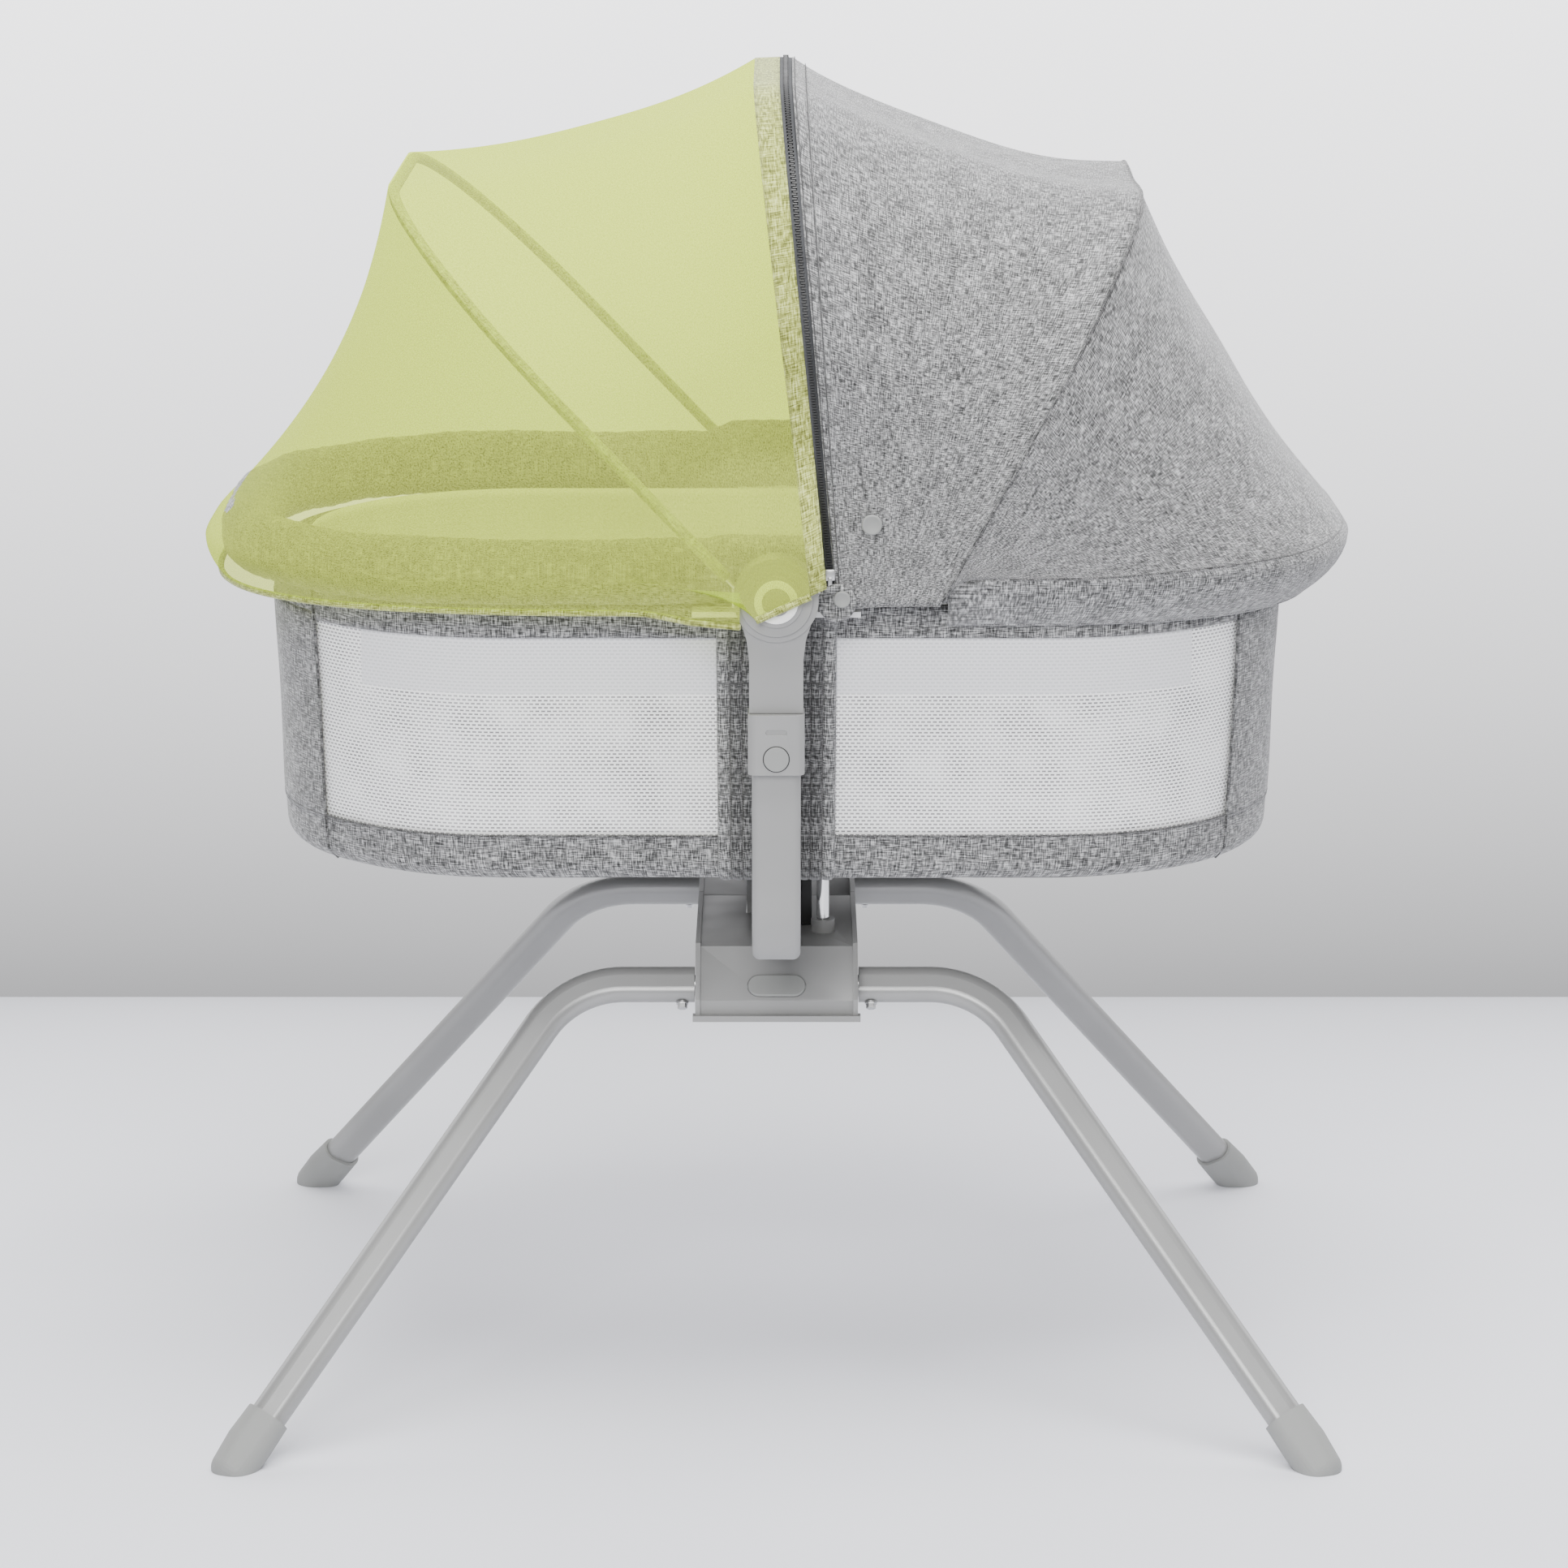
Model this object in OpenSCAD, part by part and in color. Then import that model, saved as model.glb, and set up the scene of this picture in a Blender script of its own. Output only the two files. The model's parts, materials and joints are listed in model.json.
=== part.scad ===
// Bassinet on a folding stand: a padded crib with a fabric hood and an insect net,
// hung between two telescopic posts on four bent legs.
// +X runs towards the hood end, -Y is the near long side, +Z is up. Z = 0 is the floor.

/* [Crib] */
// Half of the length of the rim pad's centre line
rim_half_len = 434; // [420:1:450]
// Half of the width of the rim pad's centre line
rim_half_wid = 265; // [262:1:266]
// Corner radius of the rim pad's centre line
rim_corner = 215; // [200:1:225]
// Height of the rim pad's centre above the floor
rim_z = 700; // [699:1:702]
// Height of the basket's underside above the floor
basket_z = 446; // [444:1:450]
// Thickness of the mattress
mattress_t = 34; // [25:1:45]

/* [Stand] */
// Height of the leg shafts above the floor
leg_root_z = 337; // [335:1:339]
// Distance of each leg shaft from the middle
leg_root_y = 160; // [155:1:165]
// Distance of each foot from the middle, along Y
foot_y = 385; // [370:1:400]
// Length of the straight, level part of each leg, from the middle
leg_level = 125; // [115:1:135]
// Radius of the bend in each leg
leg_bend_r = 80; // [70:1:90]
// Angle that each leg turns down by, in its own plane
leg_turn = 57; // [55:1:59]
// Distance of each post's centre from the middle
post_y = 325; // [325:1:327]
// Width of the post's lower tube
post_w = 38; // [34:1:38]

/* [Hood and net] */
// Height of the axis that the bows and the crib turn on
hub_z = 691; // [690:1:692]
// Length of the hood's front bow from its knee to its top
front_bow_len = 368; // [340:1:375]
// Length of the hood's rear bow from its knee to its top
rear_bow_len = 319; // [300:1:325]
// Length of the net's bow from its knee to its top
net_bow_len = 402; // [380:1:405]

/* [Hidden] */
$fn = 64;
plastic = "#adadad";
light_plastic = "#b9bab9";
steel_grey = "#a9a9a9";
white = "#f2f2f2";
heather = "#8d8d8d";
lime = "#dce4a0";

pad_r = 22;
pad_rise = 5;
rim_tube_r = 9;
wall_t = 6;
basket_half_len = 412;
basket_half_wid = 262;
basket_corner = 200;
basket_top = rim_z - pad_r - pad_rise - 0.2;
window_in = 45;
window_out = 370;
window_low = 482;
window_high = 652;
window_reach = 150;
board_t = 6;

tube_d = 22;
tube_wall = 2;
arm_bend = 35;
arm_z = 405;
tube_top = 655;
collar_low = 554;
sleeve_low = 602;
sleeve_w = 42;
sleeve_in = 312;
sleeve_out = 338;
collar_out = 345;
slide_gap = 0.3;
hub_r = 32.7;
pin_r = 5;
pin_gap = 0.05;
button_r = 9.8;
button_z = 567;

house_w = 65;
house_low = 318;
house_top = 372;
house_t = 3;
slope_y = 170;
slope_low = 334;
house_y = 200;
slope_tilt = atan2(house_top - slope_low, house_y - slope_y);
pill_w = 47;
pill_h = 19;
pill_drop = 11;
shaft_r = 8;
foot_tilt = atan2(leg_root_z, foot_y - leg_root_y);
leg_w = 30;
leg_d = 20;
leg_wall = 1.5;
leg_drop = norm([leg_root_z, foot_y - leg_root_y]);
leg_run = (leg_drop - leg_bend_r * (1 - cos(leg_turn))) / sin(leg_turn);
boot_grip = 52;
join = 2;
join_inset = 0.06;

bow_r = 2.5;
eye_t = 4.4;
rear_bow_y = 293;
front_bow_y = 298.2;
net_bow_y = 303.4;
rear_knee = 134;
front_knee = 46;
net_knee = -28;
rear_lean = 61.2;
front_lean = 95;
net_lean = 133.7;
bow_corner = 200;
cloth_t = 2;
net_t = 1.2;
hood_end = 465;
panel_steps = 6;
hoop_steps = 28;
foot_lift = 0.008;

// Puts children on the near side as drawn, or on the far side by a mirror.
module side(far) {
  mirror([0, far ? 1 : 0, 0]) children();
}

// Puts children on the right as drawn, or on the left by a mirror.
module end(left) {
  mirror([left ? 1 : 0, 0, 0]) children();
}

module rounded_rect(w, h, r) {
  square([w - 2 * r, h], center = true);
  square([w, h - 2 * r], center = true);
  for (x = [-1, 1])
    for (y = [-1, 1])
      translate([x * (w / 2 - r), y * (h / 2 - r)]) circle(r);
}

module stadium(w, h) {
  r = min(w, h) / 2;
  square([w > h ? w - 2 * r : w, w > h ? h : h - 2 * r], center = true);
  for (s = [-1, 1])
    translate([w > h ? s * (w / 2 - r) : 0, w > h ? 0 : s * (h / 2 - r)]) circle(r);
}

// Sweeps a 2D profile (x outwards, y up) round one end of a rounded rectangle.
// The straight sides start at x = cut.
module end_sweep(half_len, half_wid, corner, cut) {
  end_run = half_wid - corner;
  for (s = [0, 1])
    mirror([0, s, 0]) {
      translate([half_len - corner, end_run, 0])
        rotate_extrude(angle = 90) translate([corner, 0]) children();
      translate([cut, half_wid, 0]) rotate([90, 0, 90])
        linear_extrude(half_len - corner - cut) children();
    }
  translate([half_len, end_run, 0]) rotate([90, 0, 0]) linear_extrude(2 * end_run) children();
}

module loop_sweep(half_len, half_wid, corner) {
  end_sweep(half_len, half_wid, corner, 0) children();
  mirror([1, 0, 0]) end_sweep(half_len, half_wid, corner, 0) children();
}

module rounded_plate(half_len, half_wid, corner, low, thick) {
  translate([0, 0, low])
    linear_extrude(thick) rounded_rect(2 * half_len, 2 * half_wid, corner);
}

// ---------- stand ----------

module base_beam() {
  color(steel_grey) difference() {
    translate([-20, -146, 340]) cube([40, 292, 26]);
    translate([-18, -147, 342]) cube([36, 294, 22]);
  }
}

// The housing's outline seen from the side, grown by g.
module house_outline(g) {
  polygon([
    [-house_y - g, house_low], [-house_y - g, slope_low + g / 2], [-slope_y - g / 2, house_top + g],
    [-0.5, house_top + g], [-0.5, house_low]
  ]);
}

module house_hollow() {
  polygon([
    [-house_y + house_t, house_low - 1], [-house_y + house_t, slope_low - 1],
    [-slope_y + 1, house_top - house_t], [1, house_top - house_t], [1, house_low - 1]
  ]);
}

module along_x(low, length) {
  translate([low, 0, 0]) rotate([90, 0, 90]) linear_extrude(length) children();
}

// Places children on the housing's sloping face, with local z pointing out of it.
module on_slope() {
  translate([0, -(house_y + slope_y) / 2, (slope_low + house_top) / 2])
    rotate([slope_tilt, 0, 0]) children();
}

module housing() {
  color(plastic) difference() {
    union() {
      along_x(-house_w, 2 * house_w) house_outline(0);
      along_x(house_w - 3, 4) house_outline(3);
      along_x(-house_w - 1, 4) house_outline(3);
      translate([-house_w - 3, -house_y - 7, house_low]) cube([2 * house_w + 6, 9, 5]);
    }
    along_x(-house_w + house_t, 2 * (house_w - house_t)) house_hollow();
    translate([-25.4, -60.4, 360]) cube([50.8, 70, 50]);
    translate([-house_w - 5, -leg_root_y, leg_root_z]) rotate([0, 90, 0])
      cylinder(r = shaft_r + pin_gap, h = 2 * house_w + 10);
    on_slope() translate([0, -pill_drop, -12]) linear_extrude(24)
      stadium(pill_w + 0.6, pill_h + 0.6);
    translate([38, -120, house_top - 8]) cylinder(r = 10, h = 20);
  }
}

module front_housing() {
  housing();
}

module rear_housing() {
  side(true) housing();
}

module release() {
  color(light_plastic) on_slope() {
    translate([0, -pill_drop, -7]) linear_extrude(9) stadium(pill_w, pill_h);
  }
}

module front_release() {
  release();
}

module rear_release() {
  side(true) release();
}

module arm_clamp() {
  color(plastic) difference() {
    translate([-25, -60, 366]) cube([50, 120, 58]);
    for (s = [0, 1])
      side(s == 1) translate([0, -5, arm_z]) rotate([90, 0, 0])
        linear_extrude(60) rounded_rect(post_w + 0.2, tube_d + 0.2, 6);
  }
}

module arm_section() {
  difference() {
    rounded_rect(post_w, tube_d, 6);
    rounded_rect(post_w - 2 * tube_wall, tube_d - 2 * tube_wall, 4);
  }
}

module arm() {
  color(plastic) {
    translate([0, -5.1, arm_z]) rotate([90, 0, 0])
      linear_extrude(post_y - arm_bend - 5.1) arm_section();
    translate([0, -post_y + arm_bend, arm_z + arm_bend]) rotate([0, 90, 0]) rotate([0, 0, 180])
      mirror([1, 0, 0]) rotate_extrude(angle = 90)
        translate([arm_bend, 0]) rotate([0, 0, 90]) arm_section();
    translate([0, -post_y, arm_z + arm_bend])
      linear_extrude(tube_top - arm_z - arm_bend) arm_section();
  }
}

module front_arm() {
  arm();
}

module rear_arm() {
  side(true) arm();
}

module support_strut() {
  color("#1c1c1c") translate([20, -102, house_top + 0.1]) cube([9, 20, 60]);
}

module rod_socket() {
  color(plastic) translate([38, -120, house_top - house_t]) difference() {
    cylinder(r = 9.8, h = 14);
    translate([0, 0, 4]) cylinder(r = 5.2, h = 20);
  }
}

module lock_rod() {
  color("silver") translate([38, -120, house_top - house_t + 4.1]) cylinder(r = 5, h = 60);
}

// ---------- legs ----------

// Puts children in the plane of the near leg pair: x outwards, -y down the slope.
module leg_plane() {
  translate([0, -leg_root_y, leg_root_z]) rotate([foot_tilt, 0, 0]) children();
}

module leg_section(grow) {
  stadium(leg_w + 2 * grow, leg_d + 2 * grow);
}

// The tube's wall, made thinner by inset on both faces.
module leg_tube(inset) {
  difference() {
    leg_section(-inset);
    leg_section(inset - leg_wall);
  }
}

module leg_right() {
  color(steel_grey) leg_plane() difference() {
    union() {
      translate([house_w + 2, 0, 0]) rotate([90, 0, 90])
        linear_extrude(leg_level - house_w - 2 + join) leg_tube(join_inset);
      translate([leg_level, -leg_bend_r, 0]) rotate([0, 0, 90 - leg_turn])
        rotate_extrude(angle = leg_turn) translate([leg_bend_r, 0]) leg_tube(0);
      translate([leg_level, -leg_bend_r, 0]) rotate([0, 0, -leg_turn])
        translate([-join, leg_bend_r, 0]) rotate([90, 0, 90])
          linear_extrude(leg_run - 30 + join) leg_tube(join_inset);
    }
    translate([house_w + 12, 0, 0]) rotate([90, 0, 0]) cylinder(r = 2.6, h = 20);
  }
}

module boot_right() {
  color(light_plastic) difference() {
    intersection() {
      leg_plane() translate([leg_level, -leg_bend_r, 0]) rotate([0, 0, -leg_turn])
        translate([leg_run - boot_grip, leg_bend_r, 0]) hull() {
          rotate([90, 0, 90]) linear_extrude(1) stadium(leg_w + 6, leg_d + 6);
          translate([26, 0, 0]) rotate([90, 0, 90]) linear_extrude(1) stadium(leg_w + 8, leg_d + 8);
          translate([50, 2, 0]) sphere(r = 15, $fn = 32);
          translate([50, -4, 0]) sphere(r = 15, $fn = 32);
        }
      translate([0, -600, 0]) cube([700, 600, 200]);
    }
    leg_plane() translate([leg_level, -leg_bend_r, 0]) rotate([0, 0, -leg_turn])
      translate([leg_run - boot_grip - 1, leg_bend_r, 0]) rotate([90, 0, 90])
        linear_extrude(boot_grip - 28) leg_section(0.15);
  }
}

module leg_shaft() {
  color("silver") translate([-105, -leg_root_y, leg_root_z]) rotate([0, 90, 0])
    cylinder(r = shaft_r, h = 210);
}

// Hexagon-headed bolts that hold the legs on their shaft, with dark washers.
module leg_bolts() {
  color("silver") leg_plane() for (s = [0, 1]) end(s == 1) translate([house_w + 12, 0, 0])
    rotate([90, 0, 0]) {
      translate([0, 0, 8.6]) cylinder(r = 2.5, h = 12);
      translate([0, 0, leg_w / 2 + 0.1]) cylinder(r = 5, h = 1.6);
      translate([0, 0, leg_w / 2 + 1.7]) cylinder(r = 4, h = 4, $fn = 6);
    }
}

module front_leg_left() {
  end(true) leg_right();
}

module front_leg_right() {
  leg_right();
}

module front_boot_left() {
  end(true) boot_right();
}

module front_boot_right() {
  boot_right();
}

module front_leg_shaft() {
  leg_shaft();
}

module front_leg_bolts() {
  leg_bolts();
}

module rear_leg_left() {
  side(true) end(true) leg_right();
}

module rear_leg_right() {
  side(true) leg_right();
}

module rear_boot_left() {
  side(true) end(true) boot_right();
}

module rear_boot_right() {
  side(true) boot_right();
}

module rear_leg_shaft() {
  side(true) leg_shaft();
}

module rear_leg_bolts() {
  side(true) leg_bolts();
}

// ---------- posts ----------

module toward_y(x, y, z) {
  translate([x, y, z]) rotate([90, 0, 0]) children();
}

module tube_room(low, high) {
  translate([0, -post_y, low]) linear_extrude(high - low)
    rounded_rect(post_w + 2 * slide_gap, tube_d + 2 * slide_gap, 6.3);
}

module sleeve() {
  half = sleeve_w / 2;
  color(plastic) difference() {
    union() {
      toward_y(0, -sleeve_in, 0) linear_extrude(sleeve_out - sleeve_in) polygon([
        [-half, sleeve_low], [half, sleeve_low], [half, 644], [half + 2, 660], [half + 8, 678],
        [half + 8, 691], [-half - 8, 691], [-half - 8, 678], [-half - 2, 660], [-half, 644]
      ]);
      toward_y(0, -sleeve_in + 0.5, hub_z) cylinder(r = hub_r, h = 29);
      toward_y(0, -sleeve_in, hub_z) cylinder(r = 28, h = 31);
      toward_y(0, -sleeve_in, hub_z) cylinder(r = 20.5, h = 33);
    }
    tube_room(sleeve_low - 1, tube_top + 3);
    toward_y(0, -sleeve_in + 3, hub_z) cylinder(r = pin_r + pin_gap, h = 28.5);
  }
}

module collar() {
  color(plastic) difference() {
    translate([0, -(310 + collar_out) / 2, collar_low])
      linear_extrude(sleeve_low - collar_low - 0.4)
        rounded_rect(44, collar_out - 310, 7);
    tube_room(collar_low - 1, sleeve_low);
    toward_y(0, -post_y, button_z) cylinder(r = button_r + 0.2, h = 30);
    toward_y(0, -collar_out + 1, 588) linear_extrude(4) stadium(16.5, 3.8);
  }
}

module height_button() {
  color(light_plastic) toward_y(0, -collar_out + 4, button_z) cylinder(r = button_r, h = 5);
}

module hub_ring() {
  color(white) toward_y(0, -sleeve_in - 33, hub_z) difference() {
    cylinder(r = 17, h = 2);
    translate([0, 0, -1]) cylinder(r = 10.8, h = 4);
  }
}

module hub_cap() {
  color(plastic) toward_y(0, -sleeve_in - 33, hub_z) cylinder(r = 10.6, h = 3);
}

module front_sleeve() {
  sleeve();
}

module rear_sleeve() {
  side(true) sleeve();
}

module front_collar() {
  collar();
}

module rear_collar() {
  side(true) collar();
}

module front_hub_ring() {
  hub_ring();
}

module rear_hub_ring() {
  side(true) hub_ring();
}

module front_hub_cap() {
  hub_cap();
}

module rear_hub_cap() {
  side(true) hub_cap();
}

module front_height_button() {
  height_button();
}

module rear_height_button() {
  side(true) height_button();
}

// ---------- crib ----------

module rim_tube() {
  color(steel_grey) translate([0, 0, rim_z])
    end_sweep(rim_half_len, rim_half_wid, rim_corner, 8) difference() {
      circle(rim_tube_r);
      circle(rim_tube_r - 1.5);
    }
}

module rim_tube_left() {
  end(true) rim_tube();
}

module rim_tube_right() {
  rim_tube();
}

module rim_pad() {
  color(heather) difference() {
    translate([0, 0, rim_z]) loop_sweep(rim_half_len, rim_half_wid, rim_corner) difference() {
      stadium(2 * pad_r, 2 * (pad_r + pad_rise));
      circle(rim_tube_r + 0.3);
    }
    for (s = [-1, 1])
      translate([-35, s * (rim_half_wid + 10) - 23, rim_z - 40]) cube([70, 46, 80]);
  }
}

module bracket() {
  color(white) difference() {
    union() {
      translate([-34.5, -290, rim_z - 24]) cube([69, 37.5, 48]);
      translate([-66, -290, rim_z - 32]) cube([132, 24, 4.5]);
      translate([-30, -290, rim_z - 28]) cube([60, 24, 8]);
    }
    for (s = [0, 1])
      end(s == 1) translate([7.8, -rim_half_wid, rim_z]) rotate([0, 90, 0])
        cylinder(r = rim_tube_r + 0.1, h = 40);
    toward_y(0, -276, hub_z) cylinder(r = pin_r + 0.02, h = 20);
  }
}

module front_bracket() {
  bracket();
}

module rear_bracket() {
  side(true) bracket();
}

module hub_pin() {
  color("silver") toward_y(0, -276.5, hub_z) cylinder(r = pin_r, h = 60);
}

module front_hub_pin() {
  hub_pin();
}

module rear_hub_pin() {
  side(true) hub_pin();
}

module window_box(low_x, high_x, grow) {
  translate([low_x - grow, -350, window_low - grow])
    cube([high_x - low_x + 2 * grow, 350 - window_reach, window_high - window_low + 2 * grow]);
}

module basket_wall() {
  color(heather) difference() {
    translate([0, 0, basket_z]) loop_sweep(basket_half_len, basket_half_wid, basket_corner)
      translate([-wall_t, 0]) square([wall_t, basket_top - basket_z]);
    for (far = [0, 1])
      for (left = [0, 1])
        side(far == 1) end(left == 1) window_box(window_in, window_out, 0);
  }
}

module mesh_panel() {
  color(white) intersection() {
    translate([0, 0, window_low + 0.1])
      end_sweep(basket_half_len, basket_half_wid, basket_corner, 0)
        translate([-4, 0]) square([1.5, window_high - window_low - 0.2]);
    window_box(window_in, window_out, -0.1);
  }
}

module mesh_front_left() {
  end(true) mesh_panel();
}

module mesh_front_right() {
  mesh_panel();
}

module mesh_rear_left() {
  side(true) end(true) mesh_panel();
}

module mesh_rear_right() {
  side(true) mesh_panel();
}

module base_board() {
  inset = wall_t + 0.2;
  color("#6f6f72") rounded_plate(basket_half_len - inset, basket_half_wid - inset,
    basket_corner - inset, basket_z, board_t);
}

module mattress() {
  inset = wall_t + 3;
  color(white) rounded_plate(basket_half_len - inset, basket_half_wid - inset,
    basket_corner - inset, basket_z + board_t + 0.2, mattress_t);
}

module inner_skirt() {
  inset = wall_t + 1;
  color(white) translate([0, 0, 600])
    loop_sweep(basket_half_len - inset, basket_half_wid - inset, basket_corner - inset)
      translate([-1.5, 0]) square([1.5, 72]);
}

// ---------- bows ----------

// A U-shaped wire: eyes on the hub axis, level feet to the knee, then a hoop leaning by lean.
module bow(half_wid, knee, lean, length) {
  color("#4a4a4a") {
    for (s = [0, 1])
      side(s == 1) {
        difference() {
          toward_y(0, -half_wid + eye_t / 2, hub_z) cylinder(r = 9, h = eye_t);
          toward_y(0, -half_wid + 10, hub_z) cylinder(r = pin_r + 0.08, h = 20);
        }
        translate([knee > 0 ? 7 : -7, -half_wid, hub_z]) rotate([0, knee > 0 ? 90 : -90, 0])
          cylinder(r = bow_r, h = abs(knee) - 7);
        translate([knee, -half_wid, hub_z]) sphere(bow_r + 0.1);
      }
    translate([knee, 0, hub_z]) rotate([0, 90 - lean, 0]) rotate([90, 0, 90]) {
      for (s = [0, 1])
        mirror([s, 0, 0]) {
          translate([half_wid, 0, 0]) rotate([-90, 0, 0]) cylinder(r = bow_r, h = length - bow_corner);
          translate([half_wid - bow_corner, length - bow_corner, 0])
            rotate_extrude(angle = 90) translate([bow_corner, 0]) circle(bow_r);
        }
      translate([-half_wid + bow_corner, length, 0]) rotate([0, 90, 0])
        cylinder(r = bow_r, h = 2 * (half_wid - bow_corner));
    }
  }
}

module rear_bow() {
  bow(rear_bow_y, rear_knee, rear_lean, rear_bow_len);
}

module front_bow() {
  bow(front_bow_y, front_knee, front_lean, front_bow_len);
}

module net_bow() {
  bow(net_bow_y, net_knee, net_lean, net_bow_len);
}

// ---------- soft covers ----------

// A point on a hoop: t runs from 0 at the near foot to 1 at the far foot.
function hoop_flat(t, wid, len, rc) =
  let (leg = len - rc, arc = PI * rc / 2, top = 2 * (wid - rc), s = t * (2 * leg + 2 * arc + top))
  s < leg ? [-wid, s]
  : s < leg + arc ? let (a = (s - leg) / rc * 180 / PI) [-wid + rc - rc * cos(a), leg + rc * sin(a)]
  : s < leg + arc + top ? [-wid + rc + s - leg - arc, len]
  : s < leg + 2 * arc + top ? let (a = (s - leg - arc - top) / rc * 180 / PI)
    [wid - rc + rc * sin(a), leg + rc * cos(a)]
  : [wid, 2 * leg + 2 * arc + top - s];

function hoop(t, knee, lean, wid, len) =
  let (p = hoop_flat(t, wid, len, bow_corner))
  [knee + p[1] * cos(lean), p[0], hub_z + p[1] * sin(lean)];

function power(v, e) = sign(v) * pow(abs(v), e);

// The rim's outline as a half oval: t as on a hoop, dir is 1 for the hood end.
function rim_line(t, dir, knee, reach, wid, e, z) =
  let (a = -90 + 180 * t)
  [knee + dir * reach * pow(cos(a) + 1e-9, e), wid * power(sin(a), e), z];

function mix(a, b, k) = a + (b - a) * k;

// A closed skin between two families of points: outer(i, j) and inner(i, j).
module skin(outer, inner) {
  n = len(outer);
  m = len(outer[0]);
  at = function (k, i, j) k * n * m + i * m + j;
  points = [
    for (grid = [outer, inner])
      for (row = grid)
        for (p = row)
          p
  ];
  rows = [0 : n - 2];
  columns = [0 : m - 2];
  last_row = n - 1;
  last_column = m - 1;
  quads = concat(
    [for (i = rows) for (j = columns)
      [at(0, i, j), at(0, i, j + 1), at(0, i + 1, j + 1), at(0, i + 1, j)]],
    [for (i = rows) for (j = columns)
      [at(1, i, j), at(1, i + 1, j), at(1, i + 1, j + 1), at(1, i, j + 1)]],
    [for (i = rows) [at(0, i, 0), at(0, i + 1, 0), at(1, i + 1, 0), at(1, i, 0)]],
    [for (i = rows)
      [at(0, i + 1, last_column), at(0, i, last_column), at(1, i, last_column), at(1, i + 1, last_column)]],
    [for (j = columns) [at(0, 0, j + 1), at(0, 0, j), at(1, 0, j), at(1, 0, j + 1)]],
    [for (j = columns)
      [at(0, last_row, j), at(0, last_row, j + 1), at(1, last_row, j + 1), at(1, last_row, j)]]
  );
  faces = [for (q = quads) for (f = [[q[0], q[1], q[2]], [q[0], q[2], q[3]]]) f];
  polyhedron(points, faces, convexity = 6);
}

// Cloth from hoop a to hoop b; each is [knee, lean, half width, length].
function hoop_cloth(a, b, out) = [
  for (i = [0 : panel_steps])
    let (k = i / panel_steps, sag = 8 * k * (1 - k))
    [for (j = [0 : hoop_steps])
      let (t = mix(foot_lift, 1 - foot_lift, j / hoop_steps),
        p = hoop(t, a[0], a[1], a[2] + out, a[3] + out - sag),
        q = hoop(t, b[0], b[1], b[2] + out, b[3] + out - sag))
      mix(p, q, k)]
];

// Cloth from a hoop down to the rim's outline; sag pulls its middle in.
function end_cloth(a, dir, reach, wid, e, z, sag, out) = [
  for (i = [0 : panel_steps])
    let (k = i / panel_steps)
    [for (j = [0 : hoop_steps])
      let (t = j / hoop_steps,
        p = hoop(t, a[0], a[1], a[2] + out, a[3] + out),
        q = rim_line(t, dir, a[0], reach + out, wid + out, e, z),
        m = mix(p, q, k),
        s = sag * sin(180 * t) * 4 * k * (1 - k))
      [m[0] - dir * s * 0.6, m[1], m[2] - s]]
];

hood_front_hoop = [front_knee, front_lean, 306, front_bow_len + 6];
hood_rear_hoop = [rear_knee, rear_lean, 303, rear_bow_len + 6];
net_hoop = [net_knee, net_lean, 309, net_bow_len + 5];

module hood_front_panel() {
  color(heather) skin(hoop_cloth(hood_front_hoop, hood_rear_hoop, cloth_t),
    hoop_cloth(hood_front_hoop, hood_rear_hoop, 0));
}

module hood_rear_panel() {
  start = [rear_knee + 1, rear_lean - 1, 303, rear_bow_len + 6];
  reach = hood_end - rear_knee;
  color(heather) skin(end_cloth(start, 1, reach, 303, 0.7, rim_z, 4, cloth_t),
    end_cloth(start, 1, reach, 303, 0.7, rim_z, 4, 0));
}

module net_mid_panel() {
  start = [front_knee - 30, front_lean + 3, 309, front_bow_len + 6];
  color(lime, 0.4) skin(hoop_cloth(net_hoop, start, 0), hoop_cloth(net_hoop, start, net_t));
}

module net_end_panel() {
  start = [net_knee - 2, net_lean + 1, 309, net_bow_len + 5];
  reach = hood_end + net_knee;
  color(lime, 0.4) skin(end_cloth(start, -1, reach, 309, 0.62, rim_z, 8, net_t),
    end_cloth(start, -1, reach, 309, 0.62, rim_z, 8, 0));
}

module net_edge() {
  low = [front_knee - 5, front_lean + 0.5, 307, front_bow_len + 6];
  high = [front_knee - 26, front_lean + 2.6, 307, front_bow_len + 6];
  color(heather) skin(hoop_cloth(high, low, 0), hoop_cloth(high, low, net_t));
}

base_beam();
front_housing();
rear_housing();
arm_clamp();
front_arm();
rear_arm();
support_strut();
lock_rod();
rod_socket();
front_leg_left();
front_leg_right();
front_boot_left();
front_boot_right();
front_leg_shaft();
front_leg_bolts();
rear_leg_left();
rear_leg_right();
rear_boot_left();
rear_boot_right();
rear_leg_shaft();
rear_leg_bolts();
front_release();
rear_release();
front_sleeve();
rear_sleeve();
front_collar();
rear_collar();
front_hub_ring();
rear_hub_ring();
front_hub_cap();
rear_hub_cap();
front_height_button();
rear_height_button();
rim_tube_left();
rim_tube_right();
rim_pad();
front_bracket();
rear_bracket();
front_hub_pin();
rear_hub_pin();
basket_wall();
mesh_front_left();
mesh_front_right();
mesh_rear_left();
mesh_rear_right();
base_board();
mattress();
inner_skirt();
rear_bow();
front_bow();
net_bow();
hood_front_panel();
hood_rear_panel();
net_mid_panel();
net_end_panel();
net_edge();
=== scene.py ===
"""Bassinet on a folding stand: fabric, net, mesh, zip and finishes around the CAD frame."""
import json
import math

import bmesh
import bpy
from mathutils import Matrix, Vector, noise


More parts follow.
